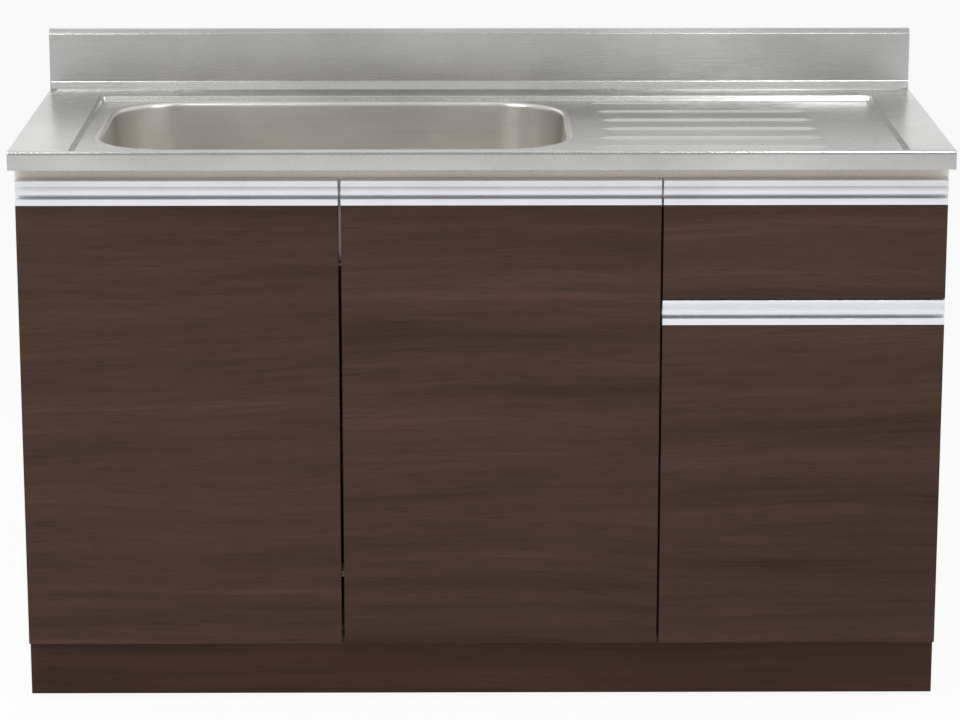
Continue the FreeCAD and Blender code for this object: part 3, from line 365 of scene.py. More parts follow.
def steelFinish(name, tone, roughness, grain, waviness, wear):
    # rolled sheet: hairlines along X, faint clouding, slow waves that bend the reflections
    material, tree, shader = startFinish(name, Metallic=1.0)
    lines = noise(tree, placeOn(tree, (4, grain, grain)), 1.0, 4, 0.7)
    clouds = noise(tree, placeOn(tree, (1, 1, 1.6)), 5.0, 3, 0.5)
    specks = noise(tree, placeOn(tree), 900.0, 1, 0.5)
    marks = noise(tree, placeOn(tree, (60, 700, 700), (3, 1, 2)), 1.0, 2, 0.4)
    waves = noise(tree, placeOn(tree, (0.7, 1, 1)), 4.0, 1, 0.4)
    level = weigh(tree, lines, 0.22, clouds, 0.78)
    colour = ramp(tree, level, [(0.34, shade(tone, 0.84)), (0.64, shade(tone, 1.06))])
    rubbed = spread(tree, marks, 0.66, 0.74, 0.0, wear)
    feed(shader, Base_Color=blend(tree, rubbed, colour, shade(tone, 1.25)),
         Roughness=spread(tree, weigh(tree, specks, 0.5, lines, 0.5), 0.3, 0.7, *roughness))
    relief(tree, shader, weigh(tree, waves, waviness, lines, 0.006), 0.35, 0.002)
    return material


def walnutFinish(name, shift, tones, poreTone=(38, 27, 22)):
    # printed laminate: the grain runs along X in long flat waves, with fine dark pores
    material, tree, shader = startFinish(name, Specular_IOR_Level=0.14)
    drift = noise(tree, placeOn(tree, (1.1, 1, 3), shift), 1.0, 2, 0.5)
    x, y, z = split(tree, placeOn(tree, (1, 1, 1), shift))
    grainPlace = combine(tree, x, y, calc(tree, "MULTIPLY_ADD", drift, 0.09, z))

    def along(scale, detail, rough):
        stretched = addNode(tree, "ShaderNodeMapping", {"Vector": grainPlace, "Scale": scale}).outputs[0]
        return noise(tree, stretched, 1.0, detail, rough)

    bands = along((0.9, 1.5, 17), 3, 0.55)
    streaks = along((2.4, 4, 95), 3, 0.6)
    fibres = along((9, 12, 620), 3, 0.65)
    pores = along((26, 30, 1500), 1, 0.4)
    level = calc(tree, "MULTIPLY_ADD", fibres, 0.20, weigh(tree, bands, 0.50, streaks, 0.30))
    colour = toneRamp(tree, level, (0.34, 0.46, 0.55, 0.68), tones)
    pore = spread(tree, pores, 0.60, 0.68, 0.0, 0.55)
    feed(shader, Base_Color=blend(tree, pore, colour, linear(*poreTone)),
         Roughness=spread(tree, fibres, 0.3, 0.7, 0.36, 0.50))
    relief(tree, shader, calc(tree, "MULTIPLY_ADD", pore, -0.6, fibres), 0.12, 0.0004)
    return material


def paintFinish(name, tone, roughness, peel, grime=0.04, metallic=0.0):
    # moulded, coated and melamine surfaces: fine texture, slight clouding of colour and gloss
    material, tree, shader = startFinish(name, Metallic=metallic)
    fine = noise(tree, placeOn(tree), peel, 2, 0.5)
    broad = noise(tree, placeOn(tree, (1, 1, 1), (5, 3, 2)), 7.0, 3, 0.6)
    base = linear(*tone)
    feed(shader, Base_Color=ramp(tree, broad, [(0.35, shade(base, 1 - 2 * grime)), (0.65, base)]),
         Roughness=spread(tree, fine, 0.3, 0.7, roughness - 0.06, roughness + 0.06))
    relief(tree, shader, fine, 0.15, 0.0003)
    return material


def boardFinish(name, tones, chips):
    # pressed wood chips
    material, tree, shader = startFinish(name)
    place = placeOn(tree, (1, 1, 1.5))
    cells = addNode(tree, "ShaderNodeTexVoronoi", {"Vector": place, "Scale": chips}).outputs["Color"]
    tint = addNode(tree, "ShaderNodeSeparateColor", {0: cells}).outputs[0]
    fine = noise(tree, placeOn(tree, (1, 1, 3)), chips * 3, 3, 0.7)
    level = weigh(tree, tint, 0.6, fine, 0.5)
    feed(shader, Base_Color=toneRamp(tree, level, (0.2, 0.6, 0.95), tones),
         Roughness=spread(tree, fine, 0.3, 0.7, 0.7, 0.9))
    relief(tree, shader, level, 0.3, 0.0006)
    return material


def metalFinish(name, tone, roughness, scale, strength=0.1, metallic=1.0):
    # drawn, turned or plated metal; scale stretches the lines of the surface
    material, tree, shader = startFinish(name, Metallic=metallic)
    lines = noise(tree, placeOn(tree, scale), 1.0, 4, 0.7)
    clouds = noise(tree, placeOn(tree), 14.0, 2, 0.5)
    level = weigh(tree, lines, 0.6, clouds, 0.4)
    feed(shader, Base_Color=ramp(tree, level, [(0.32, shade(tone, 0.90)), (0.68, shade(tone, 1.06))]),
         Roughness=spread(tree, lines, 0.3, 0.7, roughness - 0.05, roughness + 0.06))
    relief(tree, shader, lines, strength, 0.0003)
    return material


def clearFinish(name, tone):
    # soft clear rubber with a faint cloud in it
    material, tree, shader = startFinish(name, Transmission_Weight=0.55, IOR=1.48)
    cloud = noise(tree, placeOn(tree), 700.0, 2, 0.5)
    base = linear(*tone)
    feed(shader, Base_Color=ramp(tree, cloud, [(0.3, shade(base, 0.9)), (0.7, base)]),
         Roughness=spread(tree, cloud, 0.3, 0.7, 0.18, 0.3))
    relief(tree, shader, cloud, 0.1, 0.0002)
    return material


walnutTones = ((50, 35, 27), (62, 45, 36), (69, 50, 40), (84, 60, 48))
plinthTones = ((46, 29, 20), (55, 37, 27), (62, 41, 30), (74, 50, 37))
softwoodTones = ((190, 156, 112), (204, 172, 128), (214, 184, 142), (224, 198, 160))

finishes = {
    "stainless": steelFinish("satinSheetSteel", (0.60, 0.595, 0.585), (0.20, 0.34), 700, 1.0, 0.3),
    "bowlSteel": steelFinish("deepDrawnSteel", (0.73, 0.705, 0.67), (0.26, 0.36), 500, 0.6, 0.2),
    # near-black painted shade: it stands in for the shadow in the narrow gaps between the fronts and on the
    # partition seen through them
    "paintedGapShade": paintFinish("gapShadeEdging", (24, 18, 15), 0.6, 900.0, 0.1),
    "waste_steel": metalFinish("turnedSteel", (0.62, 0.62, 0.61), 0.22, (220, 220, 900)),
    "white_board": paintFinish("whiteMelamine", (232, 232, 229), 0.42, 1400.0),
    "raw_board": boardFinish("rawChipboard", ((150, 118, 80), (188, 156, 112), (214, 186, 144)), 260.0),
    "anodised": metalFinish("satinAnodised", (0.78, 0.79, 0.83), 0.32, (3, 1100, 1100), 0.06, 0.45),
    "nickel": metalFinish("nickelPlate", (0.64, 0.62, 0.58), 0.24, (300, 300, 300)),
    "white_steel": paintFinish("whitePowderCoat", (226, 226, 222), 0.35, 900.0),
    "white_plastic": paintFinish("whiteMoulding", (222, 222, 216), 0.40, 500.0, 0.06),
    "grey_plastic": paintFinish("greyMoulding", (146, 147, 150), 0.45, 600.0, 0.06),
    "trap_plastic": paintFinish("trapMoulding", (134, 136, 140), 0.42, 420.0, 0.05),
    "black_rubber": paintFinish("blackRubber", (34, 34, 35), 0.62, 800.0, 0.10),
    "cover_rubber": paintFinish("coverRubber", (40, 40, 42), 0.55, 1100.0, 0.12),
    "clear_rubber": clearFinish("clearRubber", (214, 216, 212)),
    "hardboard": boardFinish("brownHardboard", ((112, 80, 52), (134, 98, 66), (150, 114, 80)), 1400.0),
    "softwood": walnutFinish("softwoodBlocks", (2.0, 1.0, 4.0), softwoodTones, (168, 130, 88)),
}
panelShifts = {
    "door_panel_left": (0.0, 0.0, 0.0),
    "door_panel_centre": (1.7, 0.4, 2.3),
    "door_panel_right": (3.1, 1.3, 5.2),
    "drawer_front": (4.4, 2.1, 7.9),
}
walnuts = {name: walnutFinish("walnut_" + name, shift, walnutTones) for name, shift in panelShifts.items()}
walnuts["plinth"] = walnutFinish("walnut_plinth", (7.3, 0.2, 9.1), plinthTones)
print("finishes ready")


# Worktop, pressed from one sheet with the bowl welded in

worktop = {
    "half": 650, "front": -275, "top": 800, "skirt": 774,
    "lipRadius": 5, "sideRadius": 1.5, "cornerRadius": 2, "cornerReach": 12,
    "recess": (-563, 583, -263, 187), "recessCorner": 5, "recessFloor": 792,
    "riser": ((-2.5, 792), (0, 792, 2), (4.2, 800, 2.5), (7.2, 800)),
    "bowl": (-537, 121, -208, 179), "bowlCorner": 100, "rimRoll": 6.5, "rimFlat": 1.4, "draft": 7,
    "wallLines": (0.02, 0.35, 0.7, 0.98), "bowlFloor": 617, "floorRadius": 35, "floorFlat": 3,
    "waste": (-208, 60), "wasteHole": 70, "gauge": 0.8,
    "coveFoot": 247, "coveTop": (260, 811), "coveRadius": 3, "seam": 243, "mitre": 13, "columns": 40,
    "guard": ((260, 883, 1.2), (267, 890, 1.5), (275, 890, 0.8), (275, 774)),
}


def arc(radius, angle):
    # how far a rounded edge has come down and in at this angle
    turn = math.radians(angle)
    return radius * (1 - math.cos(turn)), radius * (1 - math.sin(turn))


def skirtLoop(angle):
    # one line of the folded edge: up the left side, along the front, down the right side
    w = worktop
    sideDown, sideIn = arc(w["sideRadius"], angle)
    frontDown, frontIn = arc(w["lipRadius"], angle)
    x, y = w["half"] - sideIn, w["front"] + frontIn
    sideZ = w["top"] - sideDown
    half = [(x, w["coveTop"][0], sideZ), (x, y + w["cornerRadius"] + w["cornerReach"], sideZ)]
    for bend in range(0, 91, 15):
        across, along = arc(w["cornerRadius"], bend)
        half.append((x - across, y + along, sideZ + (sideDown - frontDown) * bend / 90))
    return [(-a, b, c) for a, b, c in half] + half[::-1]


def makeWorktop():
    w = worktop
    top, foot, columns = w["top"], w["half"] - w["mitre"], w["columns"]
    shell = newShell()
    skirt = [skirtLoop(angle) for angle in range(0, 91, 15)]
    skirt.append([(x, y, w["skirt"]) for x, y, z in skirt[-1]])
    addRows(shell, skirt)

    riser = [roundedLoop(w["recess"], -out, w["recessCorner"], z, 6) for out, z in rounded(w["riser"], False)]
    addRows(shell, riser, closed=True)

    # cove, backguard and its folded top
    cove = [(w["seam"], top), (w["coveFoot"], top, w["coveRadius"]), (*w["coveTop"], w["coveRadius"])]
    ends = []
    share = 0
    for y, z in rounded(cove + list(w["guard"]), False):
        share = max(share, min((z - top) / (w["coveTop"][1] - top), 1))
        ends.append((foot + w["mitre"] * share, y, z))
    across = [2 * c / columns - 1 for c in range(columns + 1)]
    addRows(shell, [[(x * part, y, z) for x, y, z in ends] for part in across])
    level = [point for point in ends if point[0] < foot + 0.01]
    cap = [point for point in ends if point[0] > w["half"] - 0.01]
    slope = ends[len(level) - 1:len(ends) - len(cap) + 1]
    for side, column in ((-1, 0), (1, -1)):
        # the mitred end of the cove and the end of the backguard meet the folded edge
        fold = [row[column] for row in skirt]
        addFace(shell, [(side * x, y, z) for x, y, z in slope] + fold[-2::-1])
        addFace(shell, [(side * x, y, z) for x, y, z in cap] + fold[:-3:-1])

    # the ledges, cut out along the cove
    ledges = skirt[0] + [(foot, level[-1][1])]
    ledges += [(foot * part, w["seam"]) for part in across[::-1]] + [(-foot, level[-1][1])]
    addFlat(shell, ledges, [riser[-1]], lambda x, y: (x, y, top))

    # rim, walls and floor of the bowl
    roll, deep, radius = w["rimRoll"], w["bowlFloor"], w["floorRadius"]
    lines = [(-roll - w["rimFlat"], w["recessFloor"])]
    for angle in range(0, 91, 10):
        down, out = arc(roll, angle)
        lines.append((-out, w["recessFloor"] - down))
    wallTop = lines[-1][1]
    lines += [(w["draft"] * share, wallTop + (deep + radius - wallTop) * share) for share in w["wallLines"]]
    for angle in range(0, 91, 9):
        inset, up = arc(radius, angle)
        lines.append((w["draft"] + inset, deep + up))
    lines.append((w["draft"] + radius + w["floorFlat"], deep))
    bowl = [roundedLoop(w["bowl"], inset, w["bowlCorner"], z, 24) for inset, z in lines]
    addRows(shell, bowl, 1, closed=True)
    wasteHole = circle(*w["waste"], w["wasteHole"], deep, 72)
    addFlat(shell, bowl[-1], [wasteHole], lambda x, y: (x, y, deep), 1)
    addFlat(shell, riser[0], [bowl[0]], lambda x, y: (x, y, w["recessFloor"]))
    steels = [finishes["stainless"], finishes["bowlSteel"]]
    makePiece("worktopPressing", shell, "cabinet", steels, ("worktop_sheet", "sink_bowl"),
              facing=(0, 0, 1), gauge=w["gauge"])


makeWorktop()


# Drainboard ribs, by a node tree that lays them out beside the bowl

ribs = {
    "Count": 6, "First": -0.196, "Pitch": 0.073, "Left": 0.172, "Right": 0.483, "Width": 0.017,
    "Rise": 0.0022, "Taper": 0.02, "Arc": 0.85, "Middle": -0.0145, "Floor": 0.79202,
}


def startTree(name, inputs):
    tree = bpy.data.node_groups.new(name, "GeometryNodeTree")
    tree.interface.new_socket("Geometry", in_out="INPUT", socket_type="NodeSocketGeometry")
    kinds = {int: "NodeSocketInt", float: "NodeSocketFloat", bpy.types.Object: "NodeSocketObject",
             bpy.types.Material: "NodeSocketMaterial"}
    for label, size in inputs.items():
        tree.interface.new_socket(label, in_out="INPUT", socket_type=kinds[type(size)])
    tree.interface.new_socket("Geometry", in_out="OUTPUT", socket_type="NodeSocketGeometry")
    return tree, addNode(tree, "NodeGroupInput").outputs


def realize(tree, shape):
    return addNode(tree, "GeometryNodeRealizeInstances", {0: shape}).outputs[0]


def endTree(tree, shape, finish):
    shown = {"Geometry": realize(tree, shape), "Material": finish}
    done = addNode(tree, "GeometryNodeSetMaterial", shown).outputs[0]
    tree.links.new(done, addNode(tree, "NodeGroupOutput").inputs[0])


def field(tree, kind):
    return addNode(tree, "GeometryNodeInput" + kind).outputs[0]


def move(tree, shape, place):
    return addNode(tree, "GeometryNodeSetPosition", {"Geometry": shape, "Position": place}).outputs[0]


def row(tree, count, offset, start=(0, 0, 0)):
    line = {"Count": count, "Start Location": start, "Offset": offset}
    return addNode(tree, "GeometryNodeMeshLine", line).outputs[0]


def sheet(tree, long, wide, columns, rows):
    sizes = {"Size X": long, "Size Y": wide, "Vertices X": columns, "Vertices Y": rows}
    return addNode(tree, "GeometryNodeMeshGrid", sizes).outputs[0]


def scatter(tree, points, item, **more):
    laid = {"Points": points, "Instance": item, **more}
    return addNode(tree, "GeometryNodeInstanceOnPoints", laid).outputs[0]


def join(tree, *shapes):
    both = addNode(tree, "GeometryNodeJoinGeometry")
    for shape in shapes:
        tree.links.new(shape, both.inputs[0])
    return both.outputs[0]


def shapeOf(tree, item):
    return addNode(tree, "GeometryNodeObjectInfo", {"Object": item}).outputs["Geometry"]


def growPiece(name, tree, inputs, body, slot, replaced=(), angle=38, points=(), aims=()):
    # runs the tree on a carrier and keeps the plain mesh that it gives
    seed = newMesh(name + "Seed", points)
    if aims:
        aim = seed.attributes.new("aim", "FLOAT_VECTOR", "POINT")
        aim.data.foreach_set("vector", [part for vector in aims for part in vector])
    carrier = addObject(name + "Carrier", seed)
    grow = carrier.modifiers.new("grow", "NODES")
    grow.node_group = tree
    for item in tree.interface.items_tree:
        if item.in_out == "INPUT" and item.name in inputs:
            grow[item.identifier] = inputs[item.name]
    mesh = solidMesh(carrier)
    bpy.data.objects.remove(carrier)
    mesh.name = name
    finish = [material for material in mesh.materials if material][-1]
    mesh.materials.clear()
    mesh.materials.append(finish)
    form = openForm(mesh)
    faceOutwards(form)
    closeForm(form, mesh)
    joinPiece(addObject(name, mesh), body, replaced, angle)


def ribForm(tree, length, width, rise, taper, columns=90):
    # a closed rib from x = -1 to 0, raised in the middle, narrowed and run out at its ends
    grid = sheet(tree, 1.0, 1.0, columns, 13)
    place = split(tree, field(tree, "Position"))
    across = calc(tree, "ABSOLUTE", product(tree, place[1], 2.0))
    flank = spread(tree, across, 1.0, 0.28, 0.0, 1.0, "SMOOTHSTEP")
    toEnd = product(tree, calc(tree, "SUBTRACT", 0.5, calc(tree, "ABSOLUTE", place[0])), length)
    runOut = spread(tree, toEnd, 0.0, taper, 0.0, 1.0, "SMOOTHSTEP")
    narrow = calc(tree, "POWER", calc(tree, "MAXIMUM", runOut, 0.02), 0.35)
    x = calc(tree, "SUBTRACT", place[0], 0.5)
    y = product(tree, place[1], width, narrow)
    # the flat sheet and the raised one meet along the rim of the rib
    levels = (0.0, product(tree, flank, runOut, rise))
    return join(tree, *(move(tree, grid, combine(tree, x, y, level)) for level in levels))


def makeRibs():
    tree, given = startTree("drainboardRibs", ribs)
    length = calc(tree, "SUBTRACT", given["Right"], given["Left"])
    rib = ribForm(tree, length, given["Width"], given["Rise"], given["Taper"])
    # a row of points at the right-hand ends; each rib reaches left to an arc round the bowl
    start = combine(tree, given["Right"], given["First"], given["Floor"])
    line = row(tree, given["Count"], combine(tree, 0.0, given["Pitch"], 0.0), start)
    y = calc(tree, "MULTIPLY_ADD", field(tree, "Index"), given["Pitch"], given["First"])
    off = calc(tree, "SUBTRACT", y, given["Middle"])
    squares = calc(tree, "SUBTRACT", calc(tree, "POWER", given["Arc"], 2.0), product(tree, off, off))
    back = calc(tree, "SUBTRACT", calc(tree, "SQRT", squares), given["Arc"])
    reach = calc(tree, "SUBTRACT", given["Right"], calc(tree, "ADD", given["Left"], back))
    laid = scatter(tree, line, rib, Scale=combine(tree, reach, 1.0, 1.0))
    endTree(tree, laid, finishes["stainless"])
    growPiece("drainboardRibs", tree, ribs, "cabinet", "stainless", angle=60)


makeRibs()
print("worktop made")


# Handles, drawn aluminium on the upper edge of every front

handle = {
    "frontFace": -250, "tongue": (8, 12, -8), "noseReach": 0.6, "noseSteps": 12, "noseFoot": 0.8,
    "nose": (14.8, 25.2), "inner": 21,
    "above": ((2.4, 25.2, 0.3), (2.4, 30.4, 0.3), (0, 30.4, 0.5), (0, 35, 0.8), (20, 35, 0.8), (20, 0, 0.4)),
    "below": ((3, 15.1, 0.3), (3, 21, 1), (16, 21, 2), (16, 9, 1), (0, 9, 0.5), (0, 0, 0.3)),
    "fronts": {
        "left": ("door_handle_left", "door_left", -643.5, -199, 720),
        "centre": ("door_handle_centre", "door_centre", -195, 248, 720),
        "right": ("door_handle_right", "door_right", 251, 643.5, 550),
        "drawer": ("drawer_handle", "drawer", 251, 643.5, 720),
    },
}


def makeHandles():
    h = handle
    near, far, down = h["tongue"]
    low, high = h["nose"]
    nose = []
    for k in range(h["noseSteps"] + 1):
        up = low + (high - low) * k / h["noseSteps"]
        share = (up - (low + high) / 2) / ((high - low) / 2)
        nose.append((h["noseReach"] * (2 * share ** 2 - 1), up))
    section = [(near, 0), (near, down), (far, down), (far, 0)]
    section += rounded([(h["inner"], 0), *h["above"][::-1], (h["noseFoot"], high)], False)[1:-1]
    section += nose[::-1]
    section += rounded([(h["noseFoot"], low), *h["below"], (near, 0)], False)[1:-1]
    for label, (node, body, left, right, foot) in h["fronts"].items():
        shell = newShell()
        ends = [[(x, h["frontFace"] + back, foot + up) for back, up in section] for x in (left, right)]
        addRows(shell, ends, closed=True, capped=True)
        makePiece("handleExtrusion_" + label, shell, body, [finishes["anodised"]], (node,), 25)


makeHandles()
print("handles made")


# Boards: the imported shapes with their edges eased

bodyOf = {node: body for body, held in frame["record"]["behaviour"]["bodies"].items() for node in held}
slotOf = {row["node"]: row["material_slot"] for row in frame["record"]["subparts"]}
ways = {"left": (-1, 0, 0), "right": (1, 0, 0), "front": (0, -1, 0), "back": (0, 1, 0),
        "under": (0, 0, -1), "top": (0, 0, 1)}

boards = {
    # easing of the edges, the second finish (plain board, or the near-black painted shade of the gaps) and
    # the ways in which the board shows it, then the boards
    # the side edges of the doors and the drawer front are painted near-black, as painted shade of the gaps
    # between them
    "walnut": (0.5, "paintedGapShade", "left right",
               "door_panel_left door_panel_centre door_panel_right drawer_front"),
    "plinth": (0.7, "raw_board", "back", "plinth"),
    "sides": (0.4, "raw_board", "top under back", "side_panel_left side_panel_right"),
    # the fronts of the partition and the sink's floor are painted near-black, as painted shade seen through
    # the gap between the doors
    "gapShadedFronts": (0.4, "paintedGapShade", "front", "partition_panel bottom_panel_sink"),
    "floor": (0.4, "raw_board", "back", "bottom_panel_right"),
    "shelf": (0.5, "raw_board", "back", "shelf_right"),
    "divider": (0.4, "raw_board", "back", "drawer_divider"),
    "rail": (0.4, "raw_board", "top", "top_rail_front"),
    "drawerSides": (0.5, "raw_board", "back under", "drawer_side_left drawer_side_right"),
    "drawerBack": (0.5, "", "", "drawer_back"),
    "drawerBottom": (0.3, "hardboard", "under", "drawer_bottom"),
    "back": (0.2, "white_board", "front", "back_panel"),
    "rails": (0.5, "", "", "top_rail_rear base_rail_rear"),
    "cores": (0.6, "", "", "worktop_core_front worktop_core_drainboard backguard_core"),
    "blocks": (1.2, "", "", "corner_blocks"),
    "arms": (0.25, "", "", "hinge_arms hinge_plates"),
    "links": (0.2, "", "", "hinge_links_left hinge_links_centre hinge_links_right"),
    "cups": (0.25, "", "", "hinge_cups_left hinge_cups_centre hinge_cups_right"),
    "runners": (0.18, "", "", "cabinet_rails drawer_slides"),
}
ownFinish = {"corner_blocks": "softwood", "back_panel": "hardboard"}
backPanel = {"face": 0.2749, "drawnTo": 0.2746}
# on the recess's side the corner of these is cut off, clear of the pressing's slope
ledgeCores = {
    "cutOff": 8, "easing": 0.6,
    "ways": {"worktop_core_left": "right", "worktop_core_right": "left", "worktop_core_rear": "front"},
}


def plainForm(node):
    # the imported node's own shape, its triangles joined into whole faces
    form = openForm(cadNodes[node].data, 1e-6)
    bmesh.ops.dissolve_limit(form, angle_limit=math.radians(0.5), verts=form.verts, edges=form.edges)
    return form


def easedCopy(node, form, main, width, plainOrShadeFinish="", plainOrShadeWays=""):
    # faces turned the given ways take the second finish: a plain board face, or near-black painted shade
    # where a gap between the fronts lies in shadow
    turned = [Vector(ways[way]) for way in plainOrShadeWays.split()]
    for face in form.faces:
        face.material_index = 1 if any(face.normal.dot(way) > 0.9 for way in turned) else 0
    plain = bpy.data.meshes.new("eased_" + node)
    closeForm(form, plain)
    plain.materials.append(main)
    if plainOrShadeFinish:
        plain.materials.append(finishes[plainOrShadeFinish])
    piece = addObject("eased_" + node, plain)
    ease = piece.modifiers.new("ease", "BEVEL")
    ease.width = width / 1000
    ease.segments = 2
    ease.limit_method = "ANGLE"
    ease.angle_limit = math.radians(60)
    piece.data = solidMesh(piece)
    joinPiece(piece, bodyOf[node], (node,), 35)


for width, plainOrShadeFinish, plainOrShadeWays, nodes in boards.values():
    for node in nodes.split():
        main = walnuts.get(node) or finishes[ownFinish.get(node, slotOf[node])]
        form = plainForm(node)
        if node == "back_panel":
            # drawn in a little, so that the pin heads lie flush with the back
            for point in form.verts:
                if point.co.y > backPanel["face"]:
                    point.co.y = backPanel["drawnTo"]
        easedCopy(node, form, main, width, plainOrShadeFinish, plainOrShadeWays)

for node, way in ledgeCores["ways"].items():
    form = plainForm(node)
    inward = Vector(ways[way])
    high = max(point.co.z for point in form.verts) - 1e-5
    reach = max(point.co.dot(inward) for point in form.verts) - 1e-5
    corner = [edge for edge in form.edges
              if all(point.co.z > high and point.co.dot(inward) > reach for point in edge.verts)]
    bmesh.ops.bevel(form, geom=corner, offset=ledgeCores["cutOff"] / 1000, segments=1, affect="EDGES")
    easedCopy(node, form, finishes["raw_board"], ledgeCores["easing"])
print("boards and fittings made")


# Waste: turned pieces about the middle of the drain

drain = {
    "place": (-208, 60),
    "flange": ((80, 617, 0.2), (80, 618.5, 0.6), (66.5, 618.5, 1.2), (63.9, 616.6, 1), (63.9, 602, 0.6),
               (59.9, 602, 0.4), (59.9, 600, 0.4), (65.9, 600, 0.4), (65.9, 617, 0.2)),
    "gasket": ((69.1, 613, 0.5), (82, 613, 0.8), (82, 616, 0.8), (69.1, 616, 0.5)),
    "lockNut": ((69.1, 598, 0.5), (77.5, 598, 1.2), (77.5, 613, 0.6), (69.1, 613, 0.5)),
    "outletNut": ((22.1, 477, 0.5), (26.5, 477, 1), (26.5, 495, 1.6), (22.1, 495, 0.5)),
    "trapTop": ((57, 563, 1), (66, 563, 1.5), (66, 616.5, 0.5), (69, 616.5, 0.6)),
    "trapSide": ((69, 560, 3), (60, 560, 1.5), (60, 500, 4), (22, 500, 1.5), (22, 475, 0.4), (20, 475)),
    "barbs": (3, 455.6, 6.2), "thread": (14, 584, 2.2),
    "trapInside": ((17, 455, 0.4), (17, 540, 0.8), (19, 540, 0.8), (19, 503, 2.5), (57, 503, 4)),
    "bell": ((29.5, 512, 0.4), (32, 512, 0.6), (32, 555, 5), (7.5, 555, 1.5), (5.5, 556, 1), (4, 562.5, 1.4),
             (0, 562.5)),
    "bellInside": ((0, 552.5), (29.5, 552.5, 3.5)),
    "foot": (1.25, 503, 514), "footRadius": 30.75,
    "basketRim": ((58, 600.1, 0.2), (58, 602.3, 0.4), (63, 602.3, 0.4), (63, 604, 0.7), (56.6, 604, 1.1),
                  (56.6, 600.1, 0.2)),
    "basketCorner": ((51.8, 564.02), (58, 564.02, 5), (58, 570.3), (56.6, 570.3), (56.6, 565.2, 3.6),
                     (51.8, 565.2)),
    "basketMiddle": ((0, 564.02), (16.2, 564.02, 0.3), (16.2, 565.2, 0.4), (6, 565.4, 1), (2.4, 568, 2),
                     (2.2, 580, 1), (4, 584, 1.4), (4, 590.5, 1.2), (0, 590.5)),
    "cover": ((63, 604.3, 0.4), (63, 610.3, 1.3), (58, 610.3, 0.5), (57, 609.4, 0.5), (20, 609.4, 0.5),
              (19, 610.3, 0.5), (14, 610.3, 0.8), (14, 607.3, 0.6), (60.5, 607.3, 1), (60.5, 604.3, 0.3)),
}


def atWaste(x, y, z):
    return (drain["place"][0] + x, drain["place"][1] + y, z)


def turnedPiece(name, node, profile, finish, extra=None):
    shell = newShell()
    addTurned(shell, rounded(profile), atWaste, 96)
    if extra:
        extra(shell)
    makePiece(name, shell, bodyOf[node], [finishes[finish]], (node,), angle=40)


def trapProfile():
    d = drain
    count, bottom, pitch = d["barbs"]
    rings, low, step = d["thread"]
    path = rounded(d["trapTop"], False)
    for n in range(rings, 0, -1):
        z = low + n * step
        path += [(69, z), (68.3, z - 0.6), (68.3, z - 1.2), (69, z - 1.8)]
    path += rounded(d["trapSide"], False)
    for n in range(count - 1, -1, -1):
        z = bottom + n * pitch
        path += [(19.2, z + pitch - 0.2), (20, z + 1.2), (19.4, z)]
    return path + rounded(d["trapInside"], False)


def makeWaste():
    d = drain
    turnedPiece("flangeRing", "drain_flange", d["flange"], "waste_steel")
    turnedPiece("gasketRing", "drain_gasket", d["gasket"], "black_rubber")
    turnedPiece("trapBucket", "trap_body", trapProfile(), "trap_plastic")
    turnedPiece("coverDisc", "drain_cover", d["cover"], "cover_rubber")
    turnedPiece("lockNutRing", "drain_lock_nut", d["lockNut"], "trap_plastic")
    turnedPiece("outletNutRing", "outlet_nut", d["outletNut"], "grey_plastic")

    def addFeet(shell):
        radius, low, high = d["foot"]
        leg = rounded([(0, low), (radius, low, 0.4), (radius, high, 0.3), (0, high)], False)
        for x, y, _ in circle(0, 0, d["footRadius"], 0, 3):
            addTurned(shell, leg, lambda a, b, z: atWaste(x + a, y + b, z), 16, closed=False)

    bell = rounded(d["bell"], False) + rounded([*d["bellInside"], d["bell"][0]], False)
    turnedPiece("bellCup", "bell_cup", bell[:-1], "trap_plastic", addFeet)

    def addRest(shell):
        for part, closed in (("basketCorner", True), ("basketMiddle", False)):
            addTurned(shell, rounded(d[part], closed), atWaste, 96, closed)

    turnedPiece("basketFrame", "strainer_basket", d["basketRim"], "waste_steel", addRest)


makeWaste()


# Perforated floor and wall of the basket

perforated = {
    "floor": {"Columns": 48, "Rows": 9, "Radius": 0.016, "Growth": 1.14, "Base": 0.56405, "Rise": 0.0,
              "Outward": 0.0, "Upward": 0.0009},
    "wall": {"Columns": 48, "Rows": 4, "Radius": 0.05795, "Growth": 1.0, "Base": 0.5701, "Rise": 0.0076,
             "Outward": -0.0009, "Upward": 0.0},
    "hole": 0.30,
}


def makePerforatedTile():
    # a unit square with an eight-sided hole, one unit thick
    shell = newShell()
    unit = 1000
    corners = [(0, 0), (unit, 0), (unit, unit), (0, unit)]
    turns = [math.radians(202.5 + 45 * k) for k in range(8)]
    ring = [tuple(unit * (0.5 + perforated["hole"] * part) for part in (math.cos(turn), math.sin(turn)))
            for turn in turns]
    for level in (0, unit):
        for n in range(4):
            near, far = corners[n], corners[(n + 1) % 4]
            first, second, third = ring[2 * n], ring[2 * n + 1], ring[(2 * n + 2) % 8]
            for outline in ((near, far, second, first), (far, third, second)):
                addFace(shell, [(*point, level) for point in outline])
    for near, far in zip(ring, ring[1:] + ring[:1]):
        addFace(shell, [(*near, 0), (*far, 0), (*far, unit), (*near, unit)])
    return makeForm("perforatedTile", shell, [])


def turnOf(tree, step, count):
    return calc(tree, "DIVIDE", product(tree, step, 2 * math.pi), count)


def roundWaste(tree, angle, radius, height):
    # the point at this angle, radius and height about the middle of the drain
    x, y = (calc(tree, "MULTIPLY_ADD", radius, calc(tree, way, angle), middle / 1000)
            for way, middle in zip(("COSINE", "SINE"), drain["place"]))
    return combine(tree, x, y, height)


